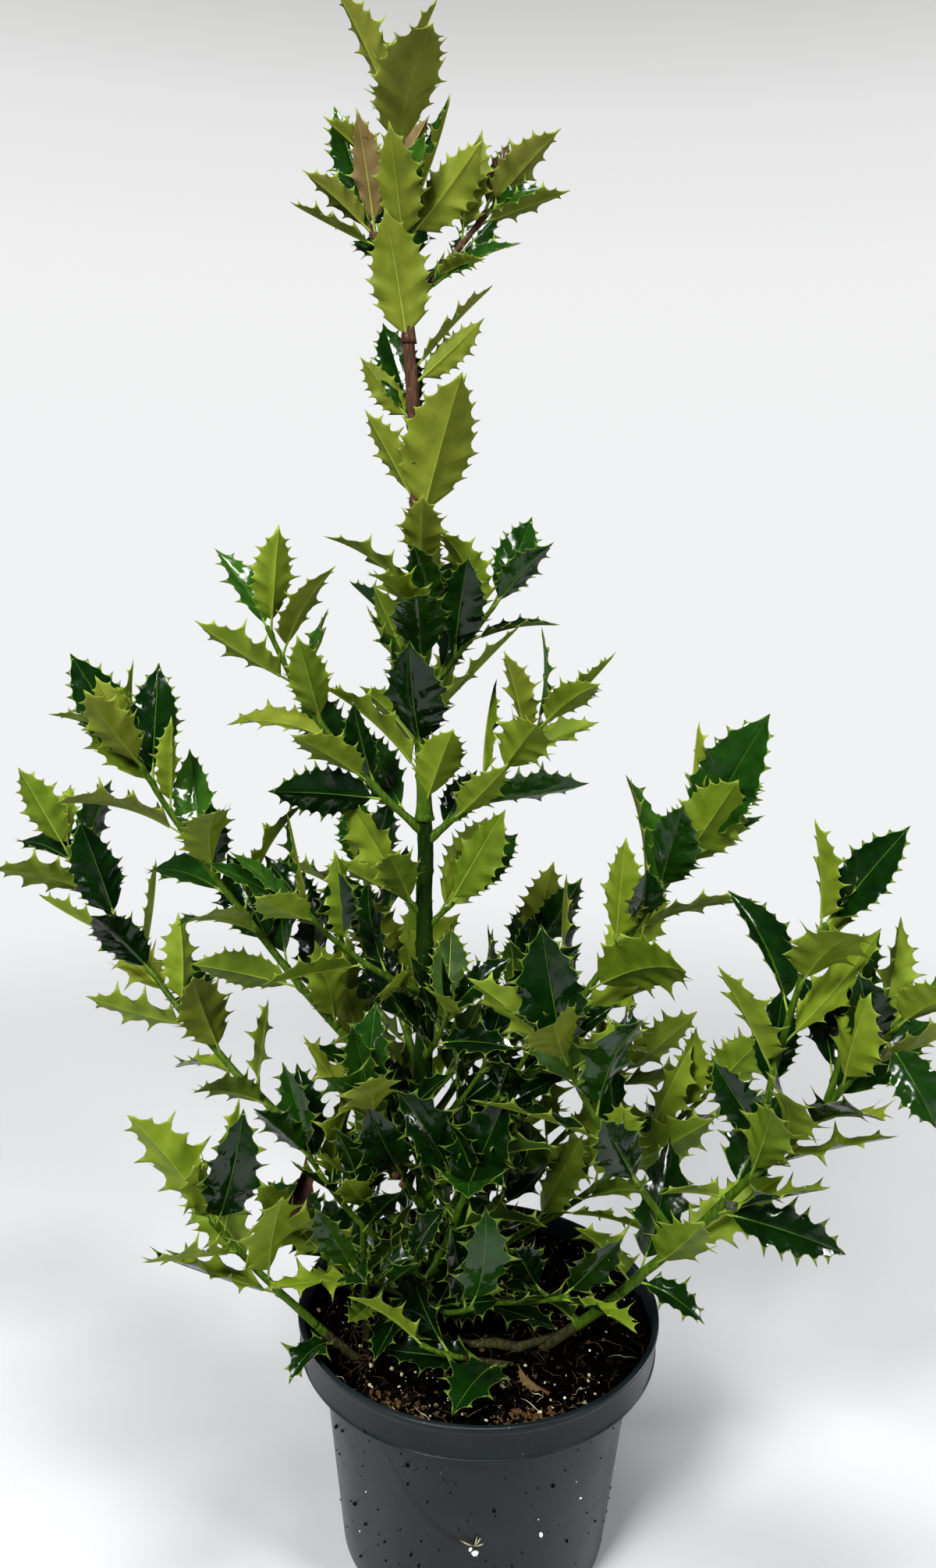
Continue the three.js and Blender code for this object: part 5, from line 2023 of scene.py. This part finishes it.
# %% Withered berries
BERRIES = (((-3.5, -3.5, 1.5), 3.1), ((0.5, -5.0, -4.0), 2.5))
BERRY_STALK = 0.9
draw = stream(720)
stub = place_at(shoots["mid_front_left"], 42)[0]
solids = [crumb(stub + np.array(offset), size, 0.12, draw, True) for offset, size in BERRIES]
for offset, _ in BERRIES:
    stalk = [stub + share * np.array(offset) for share in (0.0, 0.5, 0.9)]
    solids.append(thread(stalk, BERRY_STALK, 8))
BERRY_TONES = ((0.03, 0.012, 0.006), (0.12, 0.055, 0.028))
berry_finish = leaf_finish("berry_withered", *BERRY_TONES, GLOSSY, WAX, DRY_NET)
berries = join_solids("withered_berries", solids, [berry_finish])
print("berries:", len(BERRIES))

# %% [markdown]
# ### Crumbs on the pot
# Compost splashes up when the pot is watered. The crumbs are small and dark, thickest at the
# front, with a few white grains among them. One pale tuft of fibre is stuck there too.

# %% Crumbs on the pot
STUCK_DARK = 150
STUCK_WHITE = 12
TUFT_PLACE = (1.0, 69.0)
TUFT_THREADS = 9


def wall_point(turn, z, out=0.0):
    """A point on the pot's body, at a compass turn from the front and a height."""
    radius = body_radius(z) + out
    return np.array([radius * math.sin(turn), -radius * math.cos(turn), z])


draw = stream(730)
solids, kinds = [], []
for k in range(STUCK_DARK + STUCK_WHITE):
    turn = draw(-3.1, 3.1) * draw(0.3, 1)
    size = draw(0.35, 0.75) + 0.8 * draw(0, 1) ** 6
    spot = wall_point(turn, draw(6, BAND_FOOT - 6), 0.25 * size)
    solids.append(crumb(spot, size, 0.3, draw))
    kinds.append(0 if k < STUCK_DARK else 3)
tuft = wall_point(TUFT_PLACE[0] / BODY_FOOT_RADIUS, TUFT_PLACE[1], 0.5)
for _ in range(TUFT_THREADS):
    lean = draw(-1.3, 0.9)
    reach = draw(5, 11)
    tip = tuft + np.array([reach * math.sin(lean), -1.6, 0.75 * reach * math.cos(lean)])
    solids.append(thread([tuft, 0.5 * (tuft + tip) + np.array([0, -1.0, 0.6]), tip], 0.35))
    kinds.append(2)
for across, up, size in ((0.5, -5.0, 2.3), (-2.0, -2.5, 1.3), (37.0, 1.0, 1.6)):
    spot = wall_point((TUFT_PLACE[0] + across) / BODY_FOOT_RADIUS, TUFT_PLACE[1] + up, 0.3 * size)
    solids.append(crumb(spot, size, 0.16, draw, True))
    kinds.append(3)
pot_crumbs = join_solids("pot_crumbs", solids, CRUMB_FINISHES, kinds, (0, 1))
print("stuck on the pot:", len(solids), "triangles:", tally["pot_crumbs"])

# %% [markdown]
# ### Water drops
# The leaves have just been sprayed, and drops stand on the glossy sides. Each is a flattened ball
# of clear water, half sunk in the blade that carries it.

# %% Water drops
WET_SHARE = 0.5
WET_TILT = -0.2
DROP_FLATNESS = 0.5
DROP_SIZES = (0.3, 0.95)
LARGE_DROP = 0.62
DROP_COUNTS = (5, 16)
DROP_LIFT = 0.12


def drops_on(leaf, seed, draw):
    """The drops on the glossy side of one leaf."""
    columns, made = leaf_points(leaf, seed)
    upper = made[: columns * WIDE].reshape(columns, WIDE, 3)
    glossy = -leaf["face"] if leaf["turned"] else leaf["face"]
    sunk = BLADE_THICKNESS if leaf["turned"] else 0.0
    drops = []
    for _ in range(int(draw(*DROP_COUNTS))):
        i = int(draw(3, columns - 4))
        j = int(draw(2, WIDE - 3))
        corner, ahead, beside = upper[i, j], upper[i + 1, j], upper[i, j + 1]
        normal = np.cross(ahead - corner, beside - corner)
        if np.linalg.norm(normal) < 1e-6:
            continue
        normal = unit(normal) * np.sign(np.dot(normal, glossy))
        a, b = draw(0.1, 0.45), draw(0.1, 0.45)
        size = DROP_SIZES[0] + (DROP_SIZES[1] - DROP_SIZES[0]) * draw(0, 1) ** 2.5
        spot = corner + a * (ahead - corner) + b * (beside - corner)
        spot = spot + (sunk + DROP_LIFT * size) * normal
        side = unit(ahead - corner)
        axes = np.stack([side, np.cross(normal, side), DROP_FLATNESS * normal])
        points, faces = ball(size > LARGE_DROP)
        drops.append((spot + size * points @ axes, faces))
    return drops


water, tree = new_finish("water_clear", 0.02)
dress(tree, {"Base Color": (0.96, 0.98, 0.96), "IOR": 1.33, "Transmission Weight": 1.0})
draw = stream(740)
drops = []
for seed, (_, leaf) in enumerate(leaves, 1):
    glossy_rise = -leaf["face"][2] if leaf["turned"] else leaf["face"][2]
    if glossy_rise > WET_TILT and draw(0, 1) < WET_SHARE:
        drops += drops_on(leaf, seed, draw)
water_drops = join_solids("water_drops", drops, [water])
print("drops:", len(drops), "triangles:", tally["water_drops"])

# %% [markdown]
# ## Floor and light
# A plain pale floor and soft studio light let the leaves' gloss and the matt undersides speak. One
# strong lamp would give hard black shadows among so many leaves. Three soft lamps and a pale floor
# fill them. Two low cards only graze the pot's flanks, so that its round shape shows.

# %% Floor
FLOOR_HALF = 12.0
FADE_START = 0.4
FADE_END = 1.5
GLOW_LIGHT = 0.25
SURROUND = (0.88, 0.885, 0.895)
FLOOR_DARK = (0.51, 0.513, 0.522)
FLOOR_LIGHT = (0.565, 0.568, 0.577)
floor_mesh = bpy.data.meshes.new("floor")
signs = ((-1, -1), (1, -1), (1, 1), (-1, 1))
corners = [(x * FLOOR_HALF, y * FLOOR_HALF, 0) for x, y in signs]
floor_mesh.from_pydata(corners, [], [(0, 1, 2, 3)])
floor = bpy.data.objects.new("floor", floor_mesh)
scene.collection.objects.link(floor)
floor_finish, tree = new_finish("pale_floor", 0.7, 0.2)
cloud = ramp(tree, noise(tree, 1.3, 2.0), (0.3, FLOOR_DARK), (0.7, FLOOR_LIGHT))
dress(tree, {"Base Color": cloud})
place = add(tree, "TexCoord", {}).outputs["Object"]
length = add(tree, "VectorMath", {0: place}, operation="LENGTH").outputs["Value"]
reach = {"From Min": FADE_START, "From Max": FADE_END, "Value": length}
fade = add(tree, "MapRange", reach, interpolation_type="SMOOTHSTEP").outputs["Result"]
seen = add(tree, "LightPath", {}).outputs["Is Camera Ray"]
share = arithmetic(tree, "MULTIPLY_ADD", seen, 1.0 - GLOW_LIGHT, GLOW_LIGHT)
glow = add(tree, "Emission", {"Color": SURROUND, "Strength": share}).outputs["Emission"]
body = tree.nodes["Principled BSDF"].outputs["BSDF"]
blend = add(tree, "MixShader", {"Fac": fade, 1: body, 2: glow}).outputs["Shader"]
wire(tree, tree.nodes["Material Output"], {"Surface": blend})
floor_mesh.materials.append(floor_finish)
print("floor:", 2 * FLOOR_HALF, "m wide")

# %% Lights
# Each row: name, place, height it is aimed at, size, spread in degrees, power in watts
LAMPS = (
    ("key", (-0.9, -1.5, 1.9), 0.4, (0.6, 0.6), 180, 80.0),
    ("fill", (1.6, -1.1, 1.4), 0.4, (0.35, 0.5), 180, 25.0),
    ("top", (0.1, -0.3, 2.3), 0.4, (0.7, 0.4), 180, 36.0),
    ("left_card", (-0.9, 0.2, 0.17), 0.1, (1.3, 0.25), 32, 1.2),
    ("right_card", (0.9, 0.2, 0.17), 0.1, (1.3, 0.25), 32, 1.4),
)
for name, place, height, size, spread, power in LAMPS:
    lamp = bpy.data.lights.new(name, "AREA")
    lamp.shape = "RECTANGLE"
    lamp.size, lamp.size_y = size
    lamp.spread = math.radians(spread)
    lamp.energy = power
    holder = bpy.data.objects.new(name, lamp)
    scene.collection.objects.link(holder)
    holder.location = place
    aim = Vector((0.0, 0.0, height)) - Vector(place)
    holder.rotation_euler = aim.to_track_quat("-Z", "Y").to_euler()
print("lamps:", [name for name, *_ in LAMPS])

# %% [markdown]
# The surroundings are seen as a pale wall, darker high up, but they light the plant only softly.
# If they lit it as brightly as they look, every dark leaf would mirror them and turn grey.

# %% Surroundings
SURROUND_LIGHT = 0.05
WALL_TONES = [
    (0.05, SURROUND),
    (0.22, (0.87, 0.87, 0.875)),
    (0.32, (0.78, 0.78, 0.78)),
    (0.39, (0.6, 0.6, 0.59)),
]
world = bpy.data.worlds.new("pale surroundings")
world.use_nodes = True
tree = world.node_tree
direction = add(tree, "TexCoord", {}).outputs["Generated"]
height = add(tree, "SeparateXYZ", {"Vector": direction}).outputs["Z"]
wall = tree.nodes["Background"]
wire(tree, wall, {"Color": ramp(tree, height, *WALL_TONES)})
lighting = add(tree, "Background", {"Color": (0.9, 0.95, 1.0), "Strength": SURROUND_LIGHT})
seen = add(tree, "LightPath", {}).outputs["Is Camera Ray"]
shaders = {1: lighting.outputs["Background"], 2: wall.outputs["Background"]}
choose = add(tree, "MixShader", {"Fac": seen, **shaders}).outputs["Shader"]
wire(tree, tree.nodes["World Output"], {"Surface": choose})
scene.world = world
scene.view_settings.view_transform = "Standard"
print("surroundings lit at", SURROUND_LIGHT)

# %% [markdown]
# ## Tying the pieces to the plain model
# Each dressed piece rides on the plain model's only body and hides the plain solids it stands for.

# %% Riding and replacing
MASSES = [name for name in frame["nodes"] if name in shoots and name != TRUNK_NAME]
LIMBS = [name for name in frame["nodes"] if name == TRUNK_NAME or name.startswith("bough_")]
for side, piece in leaf_pieces.items():
    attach(piece, "root")
    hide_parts(*[name for name in MASSES if crown_side(name) == side])
for piece, slot, stood_for in (
    (wood, "green_bark", LIMBS),
    (twigs, "green_bark", MASSES),
    (pot, "pot_plastic", ["pot"]),
    (compost, "compost", ["compost"]),
    (crumbs, "compost", []),
    (fibre_piece, "compost", []),
    (bare_root, "green_bark", []),
    (pot_crumbs, "compost", []),
    (dry_leaves, "leaf", []),
    (berries, "leaf", []),
    (water_drops, "leaf", []),
):
    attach(piece, "root")
    if stood_for:
        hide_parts(*stood_for)
print("masses replaced:", len(MASSES), "limbs replaced:", len(LIMBS))

# %% Sizes and the end
bpy.context.evaluated_depsgraph_get().update()
print("triangles:", sum(tally.values()), tally)
